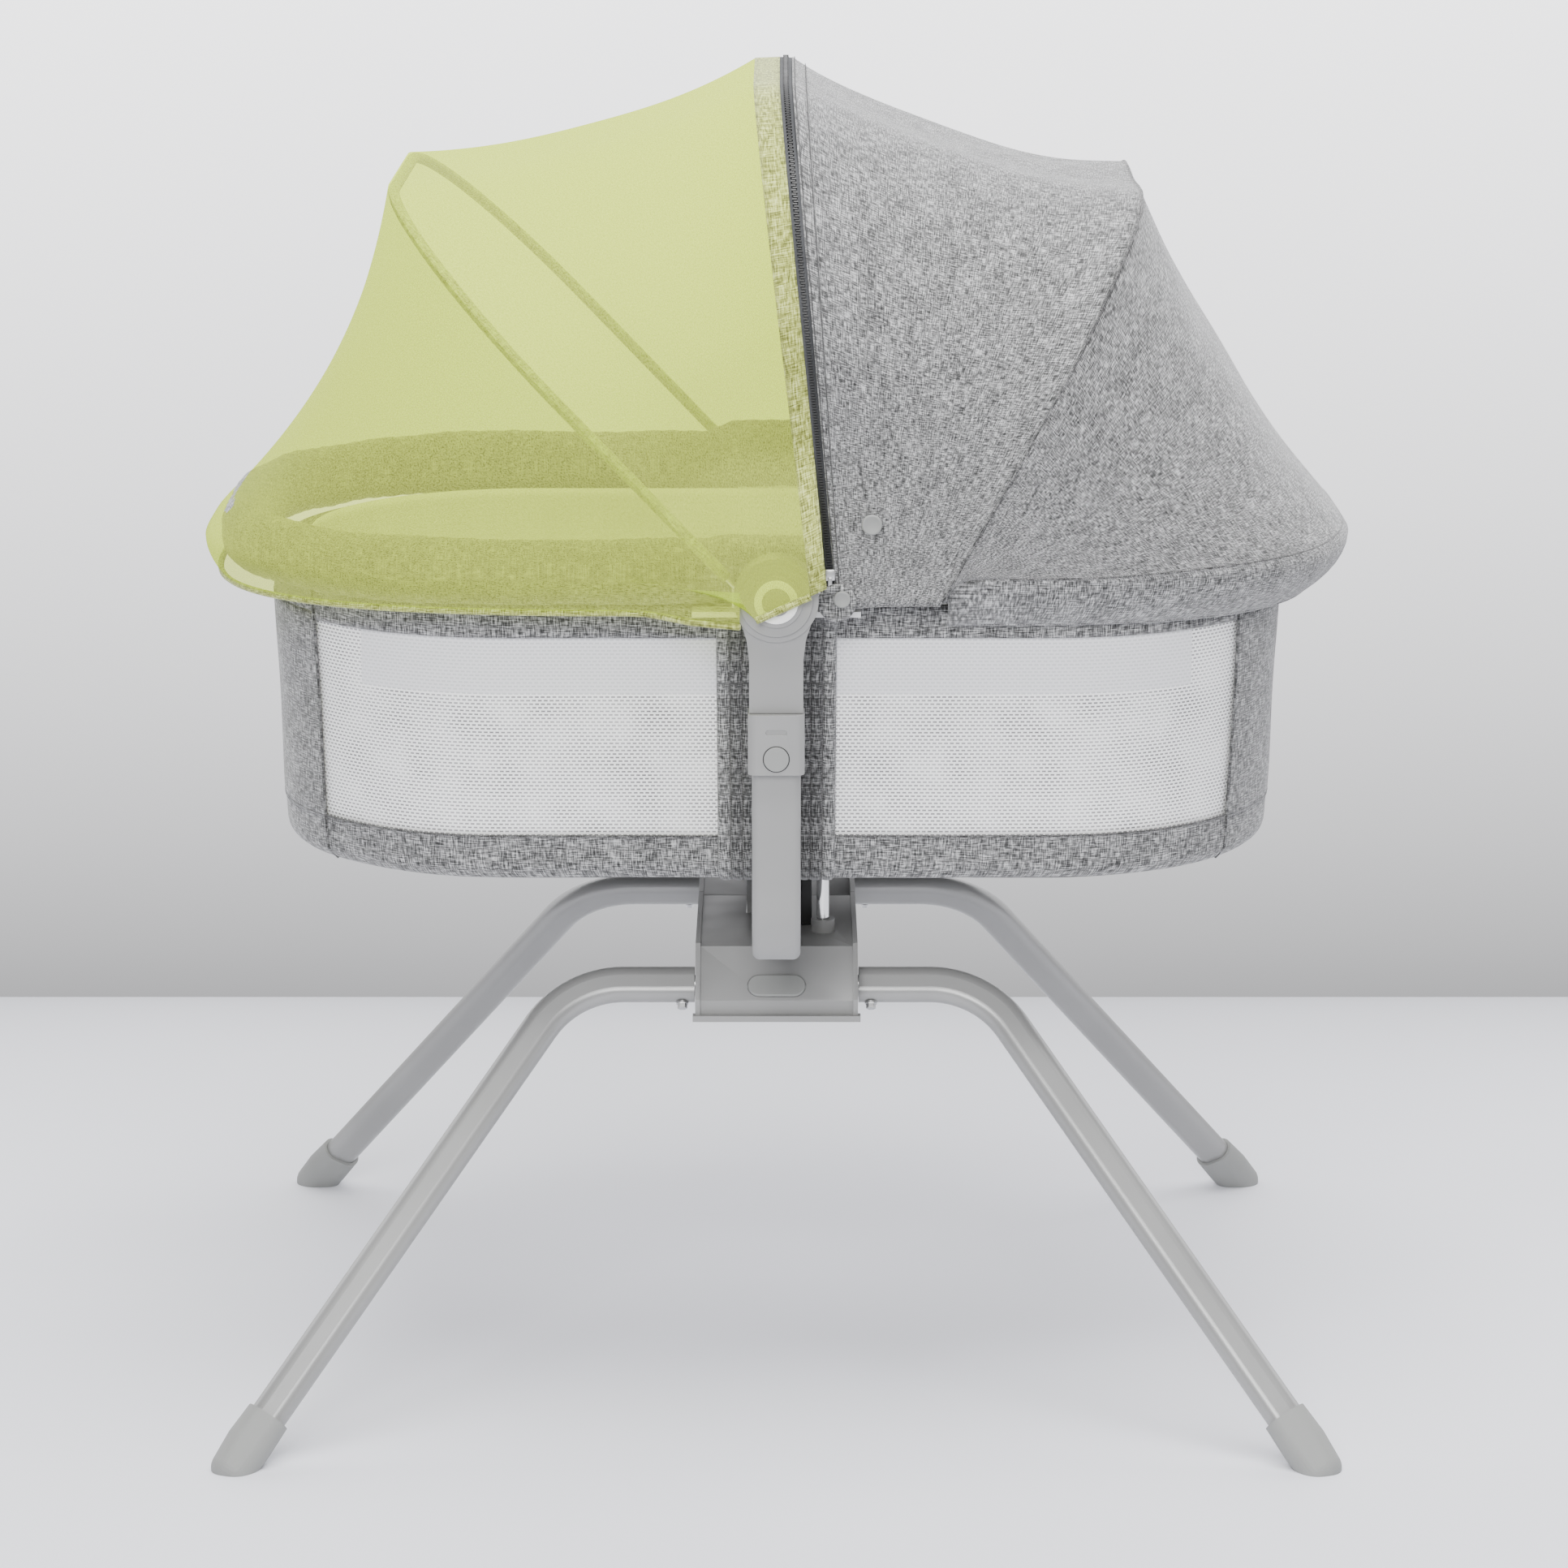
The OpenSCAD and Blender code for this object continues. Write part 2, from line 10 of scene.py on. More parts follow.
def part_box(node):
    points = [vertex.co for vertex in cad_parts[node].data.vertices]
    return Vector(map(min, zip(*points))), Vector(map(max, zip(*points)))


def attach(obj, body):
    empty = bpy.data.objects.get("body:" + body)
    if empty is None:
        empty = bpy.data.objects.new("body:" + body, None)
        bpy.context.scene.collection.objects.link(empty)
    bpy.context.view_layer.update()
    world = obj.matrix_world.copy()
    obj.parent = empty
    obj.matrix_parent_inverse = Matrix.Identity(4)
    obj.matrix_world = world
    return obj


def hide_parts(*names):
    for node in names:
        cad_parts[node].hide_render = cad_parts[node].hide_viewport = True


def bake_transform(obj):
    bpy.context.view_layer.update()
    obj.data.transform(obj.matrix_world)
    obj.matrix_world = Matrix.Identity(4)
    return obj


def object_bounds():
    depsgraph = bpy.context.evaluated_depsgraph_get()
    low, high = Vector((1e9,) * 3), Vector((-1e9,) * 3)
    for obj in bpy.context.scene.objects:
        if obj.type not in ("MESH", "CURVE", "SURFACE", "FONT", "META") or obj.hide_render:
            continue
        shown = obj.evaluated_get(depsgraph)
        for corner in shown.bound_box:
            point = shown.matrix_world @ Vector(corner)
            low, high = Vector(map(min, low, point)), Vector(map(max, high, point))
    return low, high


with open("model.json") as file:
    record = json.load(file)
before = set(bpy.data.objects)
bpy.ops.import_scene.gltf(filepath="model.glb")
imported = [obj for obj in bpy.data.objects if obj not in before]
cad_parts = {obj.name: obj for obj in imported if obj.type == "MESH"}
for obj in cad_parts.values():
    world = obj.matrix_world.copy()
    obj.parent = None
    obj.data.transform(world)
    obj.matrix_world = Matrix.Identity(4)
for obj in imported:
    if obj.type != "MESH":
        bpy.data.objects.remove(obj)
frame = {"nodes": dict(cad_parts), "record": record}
CAD_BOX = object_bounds()

MM = 0.001


# ---------- sizes from the frame ----------


def middle(node):
    low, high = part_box(node)
    return (Vector(low) + Vector(high)) / 2


HUB = middle("front_hub_cap")
HUB_Z = HUB.z
PAD_LOW, PAD_HIGH = (Vector(c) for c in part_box("rim_pad"))
RIM_Z = (PAD_LOW.z + PAD_HIGH.z) / 2
PAD_R = 22 * MM
PAD_RISE = (PAD_HIGH.z - PAD_LOW.z) / 2 - PAD_R
RIM_LEN = PAD_HIGH.x - PAD_R
RIM_WID = PAD_HIGH.y - PAD_R
RIM_CORNER = 215 * MM
WALL_LOW, WALL_HIGH = (Vector(c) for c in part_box("basket_wall"))
BASKET_CORNER = 200 * MM
MESH_LOW, MESH_HIGH = (Vector(c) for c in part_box("mesh_front_right"))
BOW_R = 2.5 * MM
BOW_CORNER = 200 * MM
COVER_END = max(CAD_BOX[1][0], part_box("hood_rear_panel")[1][0])


class Hoop:
    """A U of cloth or wire that leans from a knee on the hub's level: knee, lean, half width and length."""

    def __init__(self, knee, lean, wid, length):
        self.knee, self.lean, self.wid, self.length = knee, lean, wid, length

    def grown(self, out, knee=0.0, lean=0.0):
        return Hoop(self.knee + knee, self.lean + lean, self.wid + out, self.length + out)

    def at(self, t, sag=0.0, below=0.0):
        """The point at t from 0, the near foot, to 1; below lengthens both feet downwards."""
        wid, length = self.wid - sag, self.length - sag
        leg, arc, top = length - BOW_CORNER, math.pi * BOW_CORNER / 2, 2 * (wid - BOW_CORNER)
        s = t * (2 * (leg + below) + 2 * arc + top) - below
        if s < leg:
            y, r = -wid, s
        elif s < leg + arc:
            a = (s - leg) / BOW_CORNER
            y, r = -wid + BOW_CORNER * (1 - math.cos(a)), leg + BOW_CORNER * math.sin(a)
        elif s < leg + arc + top:
            y, r = -wid + BOW_CORNER + s - leg - arc, length
        elif s < leg + 2 * arc + top:
            a = (s - leg - arc - top) / BOW_CORNER
            y, r = wid - BOW_CORNER * (1 - math.sin(a)), leg + BOW_CORNER * math.cos(a)
        else:
            y, r = wid, 2 * leg + 2 * arc + top - s
        return Vector((self.knee + r * math.cos(self.lean), y, HUB_Z + r * math.sin(self.lean)))

    def run(self):
        return 2 * (self.length - BOW_CORNER) + math.pi * BOW_CORNER + 2 * (self.wid - BOW_CORNER)


def bow_hoop(node, knee, side):
    """Reads a bow's lean and length off its box; side is which way it leans from the knee."""
    low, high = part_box(node)
    reach = (high[0] - BOW_R - knee) if side > 0 else (low[0] + BOW_R - knee)
    rise = high[2] - BOW_R - HUB_Z
    return Hoop(knee, math.atan2(rise, reach), high[1] - BOW_R, math.hypot(rise, reach))


REAR_KNEE = 134 * MM
FRONT_KNEE = 46 * MM
NET_KNEE = -28 * MM
FRONT_LEAN = math.radians(95)
REAR_BOW = bow_hoop("rear_bow", REAR_KNEE, 1)
NET_BOW = bow_hoop("net_bow", NET_KNEE, -1)
FRONT_BOW = Hoop(FRONT_KNEE, FRONT_LEAN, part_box("front_bow")[1][1] - BOW_R,
                 (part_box("front_bow")[1][2] - BOW_R - HUB_Z) / math.sin(FRONT_LEAN))

# The covers, the zip and the net's tape lie a little outside their bows and ahead of them.
HOOD_OUT = 8 * MM
ZIP_OUT = 9 * MM
NET_OUT = 6 * MM
HOOD_FRONT = FRONT_BOW.grown(HOOD_OUT)
HOOD_REAR = REAR_BOW.grown(HOOD_OUT)
ZIP_LINE = FRONT_BOW.grown(ZIP_OUT, -3 * MM, math.radians(0.4))
EDGE_NEAR_ZIP = FRONT_BOW.grown(ZIP_OUT, -6 * MM, math.radians(0.7))
EDGE_FAR = FRONT_BOW.grown(ZIP_OUT, -19 * MM, math.radians(1.9))
NET_COVER = NET_BOW.grown(NET_OUT)


# ---------- colours and materials ----------


def colour(text):
    """sRGB hex to linear RGBA."""
    parts = [int(text[i:i + 2], 16) / 255 for i in (1, 3, 5)]
    return (*[c / 12.92 if c <= 0.04045 else ((c + 0.055) / 1.055) ** 2.4 for c in parts], 1.0)


def add(tree, kind, links=None, **settings):
    """Adds a node; a setting names an input (with _ for a space) or a property."""
    made = tree.nodes.new("ShaderNode" + kind)
    for key, value in settings.items():
        name = key.replace("_", " ")
        if hasattr(made, key) and key not in made.inputs:
            setattr(made, key, value)
        elif name in made.inputs:
            made.inputs[name].default_value = value
        else:
            made.inputs[int(key[1:])].default_value = value
    for key, socket in (links or {}).items():
        tree.links.new(socket, made.inputs[key])
    return made


def material(name):
    made = bpy.data.materials.new(name)
    made.use_nodes = True
    made.node_tree.nodes.clear()
    return made, made.node_tree


def finish(tree, shader):
    add(tree, "OutputMaterial", {"Surface": shader.outputs[0]})


def ramp(tree, factor, stops):
    made = add(tree, "ValToRGB", {"Fac": factor})
    while len(made.color_ramp.elements) < len(stops):
        made.color_ramp.elements.new(0.5)
    for element, (place, shade) in zip(made.color_ramp.elements, stops):
        element.position = place
        element.color = colour(shade)
    return made


def scaled(tree, source, scale):
    return add(tree, "Mapping", {"Vector": source}, Scale=scale).outputs[0]


def moulded(name, shade, grain, rough, depth, coat=0.0):
    """Injection-moulded plastic: even colour, a fine spark-eroded grain and faint flow tone."""
    made, tree = material(name)
    where = add(tree, "TexCoord").outputs["Object"]
    fine = add(tree, "TexNoise", {"Vector": where}, Scale=1 / grain, Detail=3.0)
    broad = add(tree, "TexNoise", {"Vector": where}, Scale=18.0, Detail=2.0)
    low, high = [tuple(min(1.0, c * k) for c in colour(shade)[:3]) + (1.0,) for k in (0.9, 1.08)]
    tone = add(tree, "Mix", {"Factor": broad.outputs[0]}, data_type="RGBA")
    tone.inputs[6].default_value, tone.inputs[7].default_value = low, high
    dull = add(tree, "MapRange", {"Value": broad.outputs[0]}, From_Min=0.3, From_Max=0.7,
               To_Min=rough - 0.05, To_Max=rough + 0.07)
    bump = add(tree, "Bump", {"Height": fine.outputs[0]}, Strength=depth, Distance=0.0003)
    shader = add(tree, "BsdfPrincipled", {"Base Color": tone.outputs[2], "Roughness": dull.outputs[0],
                                          "Normal": bump.outputs[0]}, Coat_Weight=coat)
    finish(tree, shader)
    return made


def metal(name, shade, rough):
    """Zinc-plated or bright steel: fine drawn lines blur the highlight a little."""
    made, tree = material(name)
    where = scaled(tree, add(tree, "TexCoord").outputs["Object"], (60, 900, 900))
    lines = add(tree, "TexNoise", {"Vector": where}, Scale=1.0, Detail=4.0)
    dull = add(tree, "MapRange", {"Value": lines.outputs[0]}, To_Min=rough - 0.08, To_Max=rough + 0.12)
    bump = add(tree, "Bump", {"Height": lines.outputs[0]}, Strength=0.15, Distance=0.0001)
    shader = add(tree, "BsdfPrincipled", {"Roughness": dull.outputs[0], "Normal": bump.outputs[0]},
                 Base_Color=colour(shade), Metallic=1.0)
    finish(tree, shader)
    return made


def powder_coat(name, shade):
    """Satin paint on steel tube: a clear highlight line over a very fine orange peel."""
    made, tree = material(name)
    where = add(tree, "TexCoord").outputs["Object"]
    peel = add(tree, "TexNoise", {"Vector": where}, Scale=900.0, Detail=2.0)
    broad = add(tree, "TexNoise", {"Vector": where}, Scale=9.0, Detail=2.0)
    tone = ramp(tree, broad.outputs[0], [(0.3, shade[0]), (0.7, shade[1])])
    dull = add(tree, "MapRange", {"Value": peel.outputs[0]}, To_Min=0.3, To_Max=0.4)
    bump = add(tree, "Bump", {"Height": peel.outputs[0]}, Strength=0.12, Distance=0.0002)
    shader = add(tree, "BsdfPrincipled", {"Base Color": tone.outputs[0], "Roughness": dull.outputs[0],
                                          "Normal": bump.outputs[0]},
                 Metallic=0.25, Coat_Weight=0.35, Coat_Roughness=0.2)
    finish(tree, shader)
    return made


def melange_colour(tree, tones):
    """Slubby warp and weft: light and dark yarn dashes 5 to 12 mm long and about 0.7 mm wide."""
    where = add(tree, "UVMap").outputs[0]
    weft = add(tree, "TexNoise", {"Vector": scaled(tree, where, (110, 1000, 1))}, Scale=1.0, Detail=2.0,
               Roughness=0.6)
    warp = add(tree, "TexNoise", {"Vector": scaled(tree, where, (1000, 110, 1))}, Scale=1.0, Detail=2.0,
               Roughness=0.6)
    patch = add(tree, "TexNoise", {"Vector": where}, Scale=38.0, Detail=3.0)
    both = add(tree, "Math", {0: weft.outputs[0], 1: warp.outputs[0]}, operation="ADD")
    more = add(tree, "Math", {0: patch.outputs[0], 2: both.outputs[0]}, operation="MULTIPLY_ADD")
    more.inputs[1].default_value = 0.22
    spread = add(tree, "MapRange", {"Value": more.outputs[0]}, From_Min=0.88, From_Max=1.34)
    return where, ramp(tree, spread.outputs[0], [(0.0, tones[0]), (0.35, tones[1]), (0.6, tones[2]),
                                                 (1.0, tones[3])])


def weave_height(tree, where, thread):
    """Over-and-under threads at the given spacing, as a height."""
    across = add(tree, "TexWave", {"Vector": where}, Scale=0.05 / thread, bands_direction="X",
                 Distortion=1.2, Detail=1.0)
    down = add(tree, "TexWave", {"Vector": where}, Scale=0.05 / thread, bands_direction="Y",
               Distortion=1.2, Detail=1.0)
    return add(tree, "Math", {0: across.outputs[1], 1: down.outputs[1]}, operation="MULTIPLY")


def melange(name, tones):
    """Woven melange polyester: grey with light and dark yarn dashes and a dry, faint sheen."""
    made, tree = material(name)
    where, tone = melange_colour(tree, tones)
    height = weave_height(tree, where, 0.0011)
    bump = add(tree, "Bump", {"Height": height.outputs[0]}, Strength=0.5, Distance=0.0005)
    shader = add(tree, "BsdfPrincipled", {"Base Color": tone.outputs[0], "Normal": bump.outputs[0]},
                 Roughness=0.88, Sheen_Weight=0.25, Sheen_Roughness=0.5, Specular_IOR_Level=0.25)
    finish(tree, shader)
    return made


def plain_cloth(name, shades, thread, sheen=0.2):
    """Plain-woven or knitted cotton: even colour, small threads and a soft edge."""
    made, tree = material(name)
    where = add(tree, "UVMap").outputs[0]
    broad = add(tree, "TexNoise", {"Vector": where}, Scale=25.0, Detail=3.0)
    tone = ramp(tree, broad.outputs[0], [(0.3, shades[0]), (0.7, shades[1])])
    height = weave_height(tree, where, thread)
    bump = add(tree, "Bump", {"Height": height.outputs[0]}, Strength=0.35, Distance=0.0004)
    shader = add(tree, "BsdfPrincipled", {"Base Color": tone.outputs[0], "Normal": bump.outputs[0]},
                 Roughness=0.85, Sheen_Weight=sheen, Specular_IOR_Level=0.3)
    finish(tree, shader)
    return made


def holed_mesh(name, lining_low, lining_reach):
    """White spacer mesh: staggered 3.0 x 1.2 mm holes, painted grey with the shade of the basket's interior
    seen through them, and paler where the lining backs it.
    """
    made, tree = material(name)
    where = add(tree, "UVMap").outputs[0]
    place = add(tree, "SeparateXYZ", {0: add(tree, "TexCoord").outputs["Object"]})
    high = add(tree, "Math", {0: place.outputs[2]}, p1=lining_low, operation="GREATER_THAN")
    aside = add(tree, "Math", {0: place.outputs[0]}, operation="ABSOLUTE")
    near = add(tree, "Math", {0: aside.outputs[0]}, p1=lining_reach, operation="LESS_THAN")
    backed = add(tree, "Math", {0: high.outputs[0], 1: near.outputs[0]}, operation="MULTIPLY")
    # Painted shade in the holes: greys of the shaded interior seen through them, varied by noise, and a paler
    # grey where the lining stands behind. The knit is a little greyer there.
    depth = add(tree, "TexNoise", {"Vector": where}, Scale=26.0, Detail=2.0)
    hole_shade = ramp(tree, depth.outputs[0], [(0.3, "#6f6f6f"), (0.5, "#979797"), (0.7, "#b8b8b8")])
    hole = add(tree, "Mix", {0: backed.outputs[0], 6: hole_shade.outputs[0]}, data_type="RGBA")
    hole.inputs[7].default_value = colour("#cbccce")
    knit = add(tree, "Mix", {0: backed.outputs[0]}, data_type="RGBA")
    knit.inputs[6].default_value, knit.inputs[7].default_value = colour("#fbfbfb"), colour("#e3e3e5")
    holes = add(tree, "TexBrick", {"Vector": where, "Color1": hole.outputs[2], "Color2": hole.outputs[2],
                                   "Mortar": knit.outputs[2]}, Scale=1.0, Mortar_Size=0.00085,
                Mortar_Smooth=0.15, Brick_Width=0.0047, Row_Height=0.0029, offset=0.5)
    bump = add(tree, "Bump", {"Height": holes.outputs["Fac"]}, Strength=0.4, Distance=0.0005)
    cloth = add(tree, "BsdfPrincipled", {"Base Color": holes.outputs["Color"], "Normal": bump.outputs[0]},
                Roughness=0.7, Sheen_Weight=0.2)
    finish(tree, cloth)
    return made


def sheer_net(name, through, shade):
    """Fine polyester insect net: tints what is behind it and catches a little light on its threads."""
    made, tree = material(name)
    where = add(tree, "UVMap").outputs[0]
    grid = add(tree, "TexNoise", {"Vector": where}, Scale=500.0, Detail=2.0)
    share = add(tree, "MapRange", {"Value": grid.outputs[0]}, From_Min=0.35, From_Max=0.65,
                To_Min=0.2, To_Max=0.36)
    open_part = add(tree, "BsdfTransparent", Color=colour(through))
    thread = add(tree, "BsdfPrincipled", Base_Color=colour(shade), Roughness=0.75)
    mixed = add(tree, "MixShader", {0: share.outputs[0], 1: open_part.outputs[0], 2: thread.outputs[0]})
    finish(tree, mixed)
    return made


LINING_REACH = 330 * MM
ABS_GREY = moulded("satin_grey_abs", "#8b8b8a", 0.0009, 0.42, 0.12)
PP_BOOT = moulded("textured_grey_pp", "#898a88", 0.0007, 0.55, 0.3)
ABS_WHITE = moulded("white_abs", "#f3f3f2", 0.001, 0.3, 0.05, 0.2)
PA_BLACK = moulded("black_nylon", "#161616", 0.0008, 0.45, 0.2)
BOARD = moulded("grey_base_board", "#6f6f72", 0.002, 0.7, 0.4)
PAINT = powder_coat("satin_powder_coat", ("#8c8c8b", "#949493"))
ZINC = metal("zinc_plated_steel", "#c9c9c9", 0.32)
BRIGHT = metal("bright_chrome_rod", "#dadada", 0.14)
HEATHER = melange("heather_melange", ("#2a2a2a", "#555555", "#7c7c7c", "#bcbcbc"))
HEATHER_DARK = melange("heather_melange_shaded", ("#1d1d1d", "#3c3c3c", "#5c5c5c", "#8c8c8c"))
LIME_HEATHER = melange("heather_under_lime_net", ("#585c26", "#848a42", "#a6ad58", "#ccd588"))
COTTON = plain_cloth("white_cotton", ("#ececeb", "#f6f6f5"), 0.0009)
ZIP_TAPE = plain_cloth("dark_zip_tape", ("#3c3d3f", "#4a4b4d"), 0.0006, 0.0)
MESH = holed_mesh("white_spacer_mesh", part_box("inner_skirt")[0][2], LINING_REACH)
NET = sheer_net("lime_insect_net", "#e6f18e", "#e2f06c")
THREAD = plain_cloth("dark_sewing_thread", ("#3a3a3a", "#505050"), 0.0004, 0.0)

FINISHES = {"grey_plastic": ABS_GREY, "light_plastic": PP_BOOT, "leg_paint": PAINT, "steel": ZINC,
            "black_plastic": PA_BLACK, "white_plastic": ABS_WHITE, "heather_fabric": HEATHER,
            "white_mesh": MESH, "white_fabric": COTTON, "board": BOARD, "lime_net": NET}
SLOT_OF = {part["node"]: part["material_slot"] for part in frame["record"]["subparts"]}
BODY_OF = {node: body for body, nodes in frame["record"]["behaviour"]["bodies"].items() for node in nodes}


# ---------- making pieces ----------


def publish(name, bm, skin, slot, smooth=True):
    """Turns a bmesh into a finished piece with its material; slot is not used. Without a UV it gets its x and
    z.
    """
    if not bm.loops.layers.uv:
        plan = bm.loops.layers.uv.new("UVMap")
        for face in bm.faces:
            for loop in face.loops:
                loop[plan].uv = (loop.vert.co.x, loop.vert.co.z)
    mesh = bpy.data.meshes.new(name)
    bm.to_mesh(mesh)
    bm.free()
    made = bpy.data.objects.new(name, mesh)
    bpy.context.scene.collection.objects.link(made)
    mesh.materials.append(skin)
    if smooth:
        mesh.shade_smooth()
    return made


def laid(name, across, along, size, place, skin, slot, closed=False, thick=0.0, out=-1.0):
    """A cloth of across by along cells, put in place by place(u, v); size is its flat size for its UV."""
    bm = bmesh.new()
    bmesh.ops.create_grid(bm, x_segments=across, y_segments=along, size=0.5, calc_uvs=True)
    sheet_uv = bm.loops.layers.uv.verify()
    for face in bm.faces:
        for loop in face.loops:
            flat = loop.vert.co
            loop[sheet_uv].uv = ((flat.x + 0.5) * size[0], (flat.y + 0.5) * size[1])
    for vert in bm.verts:
        vert.co = place(vert.co.x + 0.5, vert.co.y + 0.5)
    if closed:
        bmesh.ops.remove_doubles(bm, verts=bm.verts, dist=0.00002)
    bmesh.ops.recalc_face_normals(bm, faces=bm.faces)
    made = publish(name, bm, skin, slot)
    if thick:
        wall = made.modifiers.new("thickness", "SOLIDIFY")
        wall.thickness, wall.offset = thick, out
    return made


def ripple(point, size, height):
    """A small, repeatable unevenness of sewn cloth."""
    return noise.noise(point / size) * height


def tube_along(name, points, radius, sides, skin, slot, closed=False):
    """A round cord or piping through points, swept ring by ring."""
    count = len(points)

    def place(u, v):
        i = round(v * count) % count if closed else round(v * (count - 1))
        before = points[i - 1] if (i or closed) else points[0]
        after = points[(i + 1) % count] if (i < count - 1 or closed) else points[-1]
        ahead = (after - before).normalized()
        across = ahead.cross(Vector((0.13, 0.29, 0.95))).normalized()
        up = across.cross(ahead)
        turn = 2 * math.pi * u
        return points[i] + (across * math.cos(turn) + up * math.sin(turn)) * radius

    run = sum((points[i] - points[i - 1]).length for i in range(1, count))
    made = laid(name, sides, count if closed else count - 1, (2 * math.pi * radius, run), place,
                skin, slot, closed=True)
    if not closed:
        bm = bmesh.new()
        bm.from_mesh(made.data)
        bmesh.ops.holes_fill(bm, edges=[edge for edge in bm.edges if edge.is_boundary])
        bmesh.ops.recalc_face_normals(bm, faces=bm.faces)
        bm.to_mesh(made.data)
        bm.free()
    return made


def loop_point(s, half_len, half_wid, corner):
    """A rounded rectangle's point and outward direction at s, 0 to 1, from the middle of the near side."""
    straight, turn, side = half_len - corner, math.pi * corner / 2, half_wid - corner
    whole = 4 * (straight + turn + side)
    d = (s % 1.0) * whole
    for flip_x, flip_y, back in ((1, -1, False), (1, 1, True), (-1, 1, False), (-1, -1, True)):
        part = straight + turn + side
        if d <= part:
            e = part - d if back else d
            if e < straight:
                x, y, nx, ny = e, half_wid, 0.0, 1.0
            elif e < straight + turn:
                a = (e - straight) / corner
                nx, ny = math.sin(a), math.cos(a)
                x, y = straight + corner * nx, side + corner * ny
            else:
                x, y, nx, ny = half_len, side - (e - straight - turn), 1.0, 0.0
            return Vector((flip_x * x, flip_y * y, 0)), Vector((flip_x * nx, flip_y * ny, 0))
        d -= part
    return Vector((0, -half_wid, 0)), Vector((0, -1, 0))


def loop_run(half_len, half_wid, corner):
    return 4 * (half_len - corner + math.pi * corner / 2 + half_wid - corner)


# ---------- plastic and metal: rounded edges on the frame's own parts ----------


SHARP = math.radians(35)
PAD_HIDES = RIM_Z - 6 * MM


def below_the_pad(bm):
    """Keeps what shows under the rim pad and closes the cut."""
    whole = bm.verts[:] + bm.edges[:] + bm.faces[:]
    bmesh.ops.bisect_plane(bm, geom=whole, plane_co=(0, 0, PAD_HIDES), plane_no=(0, 0, 1), clear_outer=True)
    bmesh.ops.holes_fill(bm, edges=[edge for edge in bm.edges if edge.is_boundary])


def rounded(node, width):
    """Copies a CAD part, rounds its sharp edges as a mould or tool leaves them, and stands for it."""
    bm = bmesh.new()
    bm.from_mesh(frame["nodes"][node].data)
    bmesh.ops.remove_doubles(bm, verts=bm.verts, dist=0.00001)
    bmesh.ops.dissolve_limit(bm, angle_limit=math.radians(1), verts=bm.verts, edges=bm.edges)
    if node.endswith("_bracket"):
        below_the_pad(bm)
    made = publish(node + "_rounded", bm, FINISHES[SLOT_OF[node]], SLOT_OF[node])
    made.data.set_sharp_from_angle(angle=SHARP)
    edge = made.modifiers.new("edge radius", "BEVEL")
    edge.width, edge.segments, edge.limit_method = width, 3, "ANGLE"
    edge.angle_limit, edge.harden_normals = SHARP, True
    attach(made, BODY_OF[node])
    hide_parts(node)
    return made


# Edge radius of each moulded or pressed part, in millimetres.
ROUNDED = {"front_housing": 1.2, "rear_housing": 1.2, "arm_clamp": 2.0, "front_sleeve": 1.2,
           "rear_sleeve": 1.2, "front_collar": 0.8, "rear_collar": 0.8, "front_release": 1.5,
           "rear_release": 1.5, "front_hub_ring": 0.4, "rear_hub_ring": 0.4, "front_hub_cap": 0.8,
           "rear_hub_cap": 0.8, "front_height_button": 0.8, "rear_height_button": 0.8,
           "front_bracket": 1.5, "rear_bracket": 1.5, "support_strut": 1.0, "rod_socket": 0.8}
for part, radius_mm in ROUNDED.items():
    rounded(part, radius_mm * MM)
for part, slot in SLOT_OF.items():
    holder = frame["nodes"][part]
    holder.data.materials.clear()
    holder.data.materials.append(BRIGHT if part == "lock_rod" else FINISHES[slot])
    if part not in ROUNDED:
        holder.data.shade_smooth()
        holder.data.set_sharp_from_angle(angle=math.radians(30))


# ---------- rim pad ----------


GATHERS = 130
HUB_SWELL = 62 * MM
PAD_GIRTH = 170 * MM


def rim_pad_place(u, v):
    """The pad's cover, puffed and finely gathered, and raised where it runs over the hubs."""
    around = 2 * math.pi * u
    centre, out = loop_point(v, RIM_LEN, RIM_WID, RIM_CORNER)
    rise = PAD_RISE if math.sin(around) > 0 else -PAD_RISE
    offset = out * (PAD_R * math.cos(around)) + Vector((0, 0, PAD_R * math.sin(around) + rise))
    point = centre + Vector((0, 0, RIM_Z)) + offset
    gather = 0.0004 * math.sin(v * 2 * math.pi * GATHERS + 2 * math.sin(v * 12 * math.pi))
    puff = ripple(point, 0.05, 0.0022) + gather
    near_hub = min(1.0, max(0.0, 1.6 - 1.6 * (point.x / HUB_SWELL) ** 2))
    over = near_hub * max(0.0, min(1.0, 3 * math.sin(around)))
    shoulder = 10 * MM * math.sin(2 * around) if math.cos(around) > 0 else 0.0
    return point + offset.normalized() * (puff - 0.001 + (2 * MM + shoulder) * over) + out * 5 * MM * over


rim_run = loop_run(RIM_LEN, RIM_WID, RIM_CORNER)
rim_cover = laid("rim_pad_cover", 40, 480, (PAD_GIRTH, rim_run), rim_pad_place, HEATHER, "heather_fabric",
                 closed=True)
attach(rim_cover, "crib")
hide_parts("rim_pad")


# ---------- basket ----------

BASKET_LEN, BASKET_WID = WALL_HIGH.x, WALL_HIGH.y
WALL_TOP, WALL_BOTTOM = WALL_HIGH.z, WALL_LOW.z
WINDOW_TOP, WINDOW_BOTTOM = MESH_HIGH.z, MESH_LOW.z
WINDOW_IN, WINDOW_OUT = MESH_LOW.x, MESH_HIGH.x
BASKET_RUN = loop_run(BASKET_LEN, BASKET_WID, BASKET_CORNER)
HEM_ROUND = 16 * MM
TAPER = 10 * MM


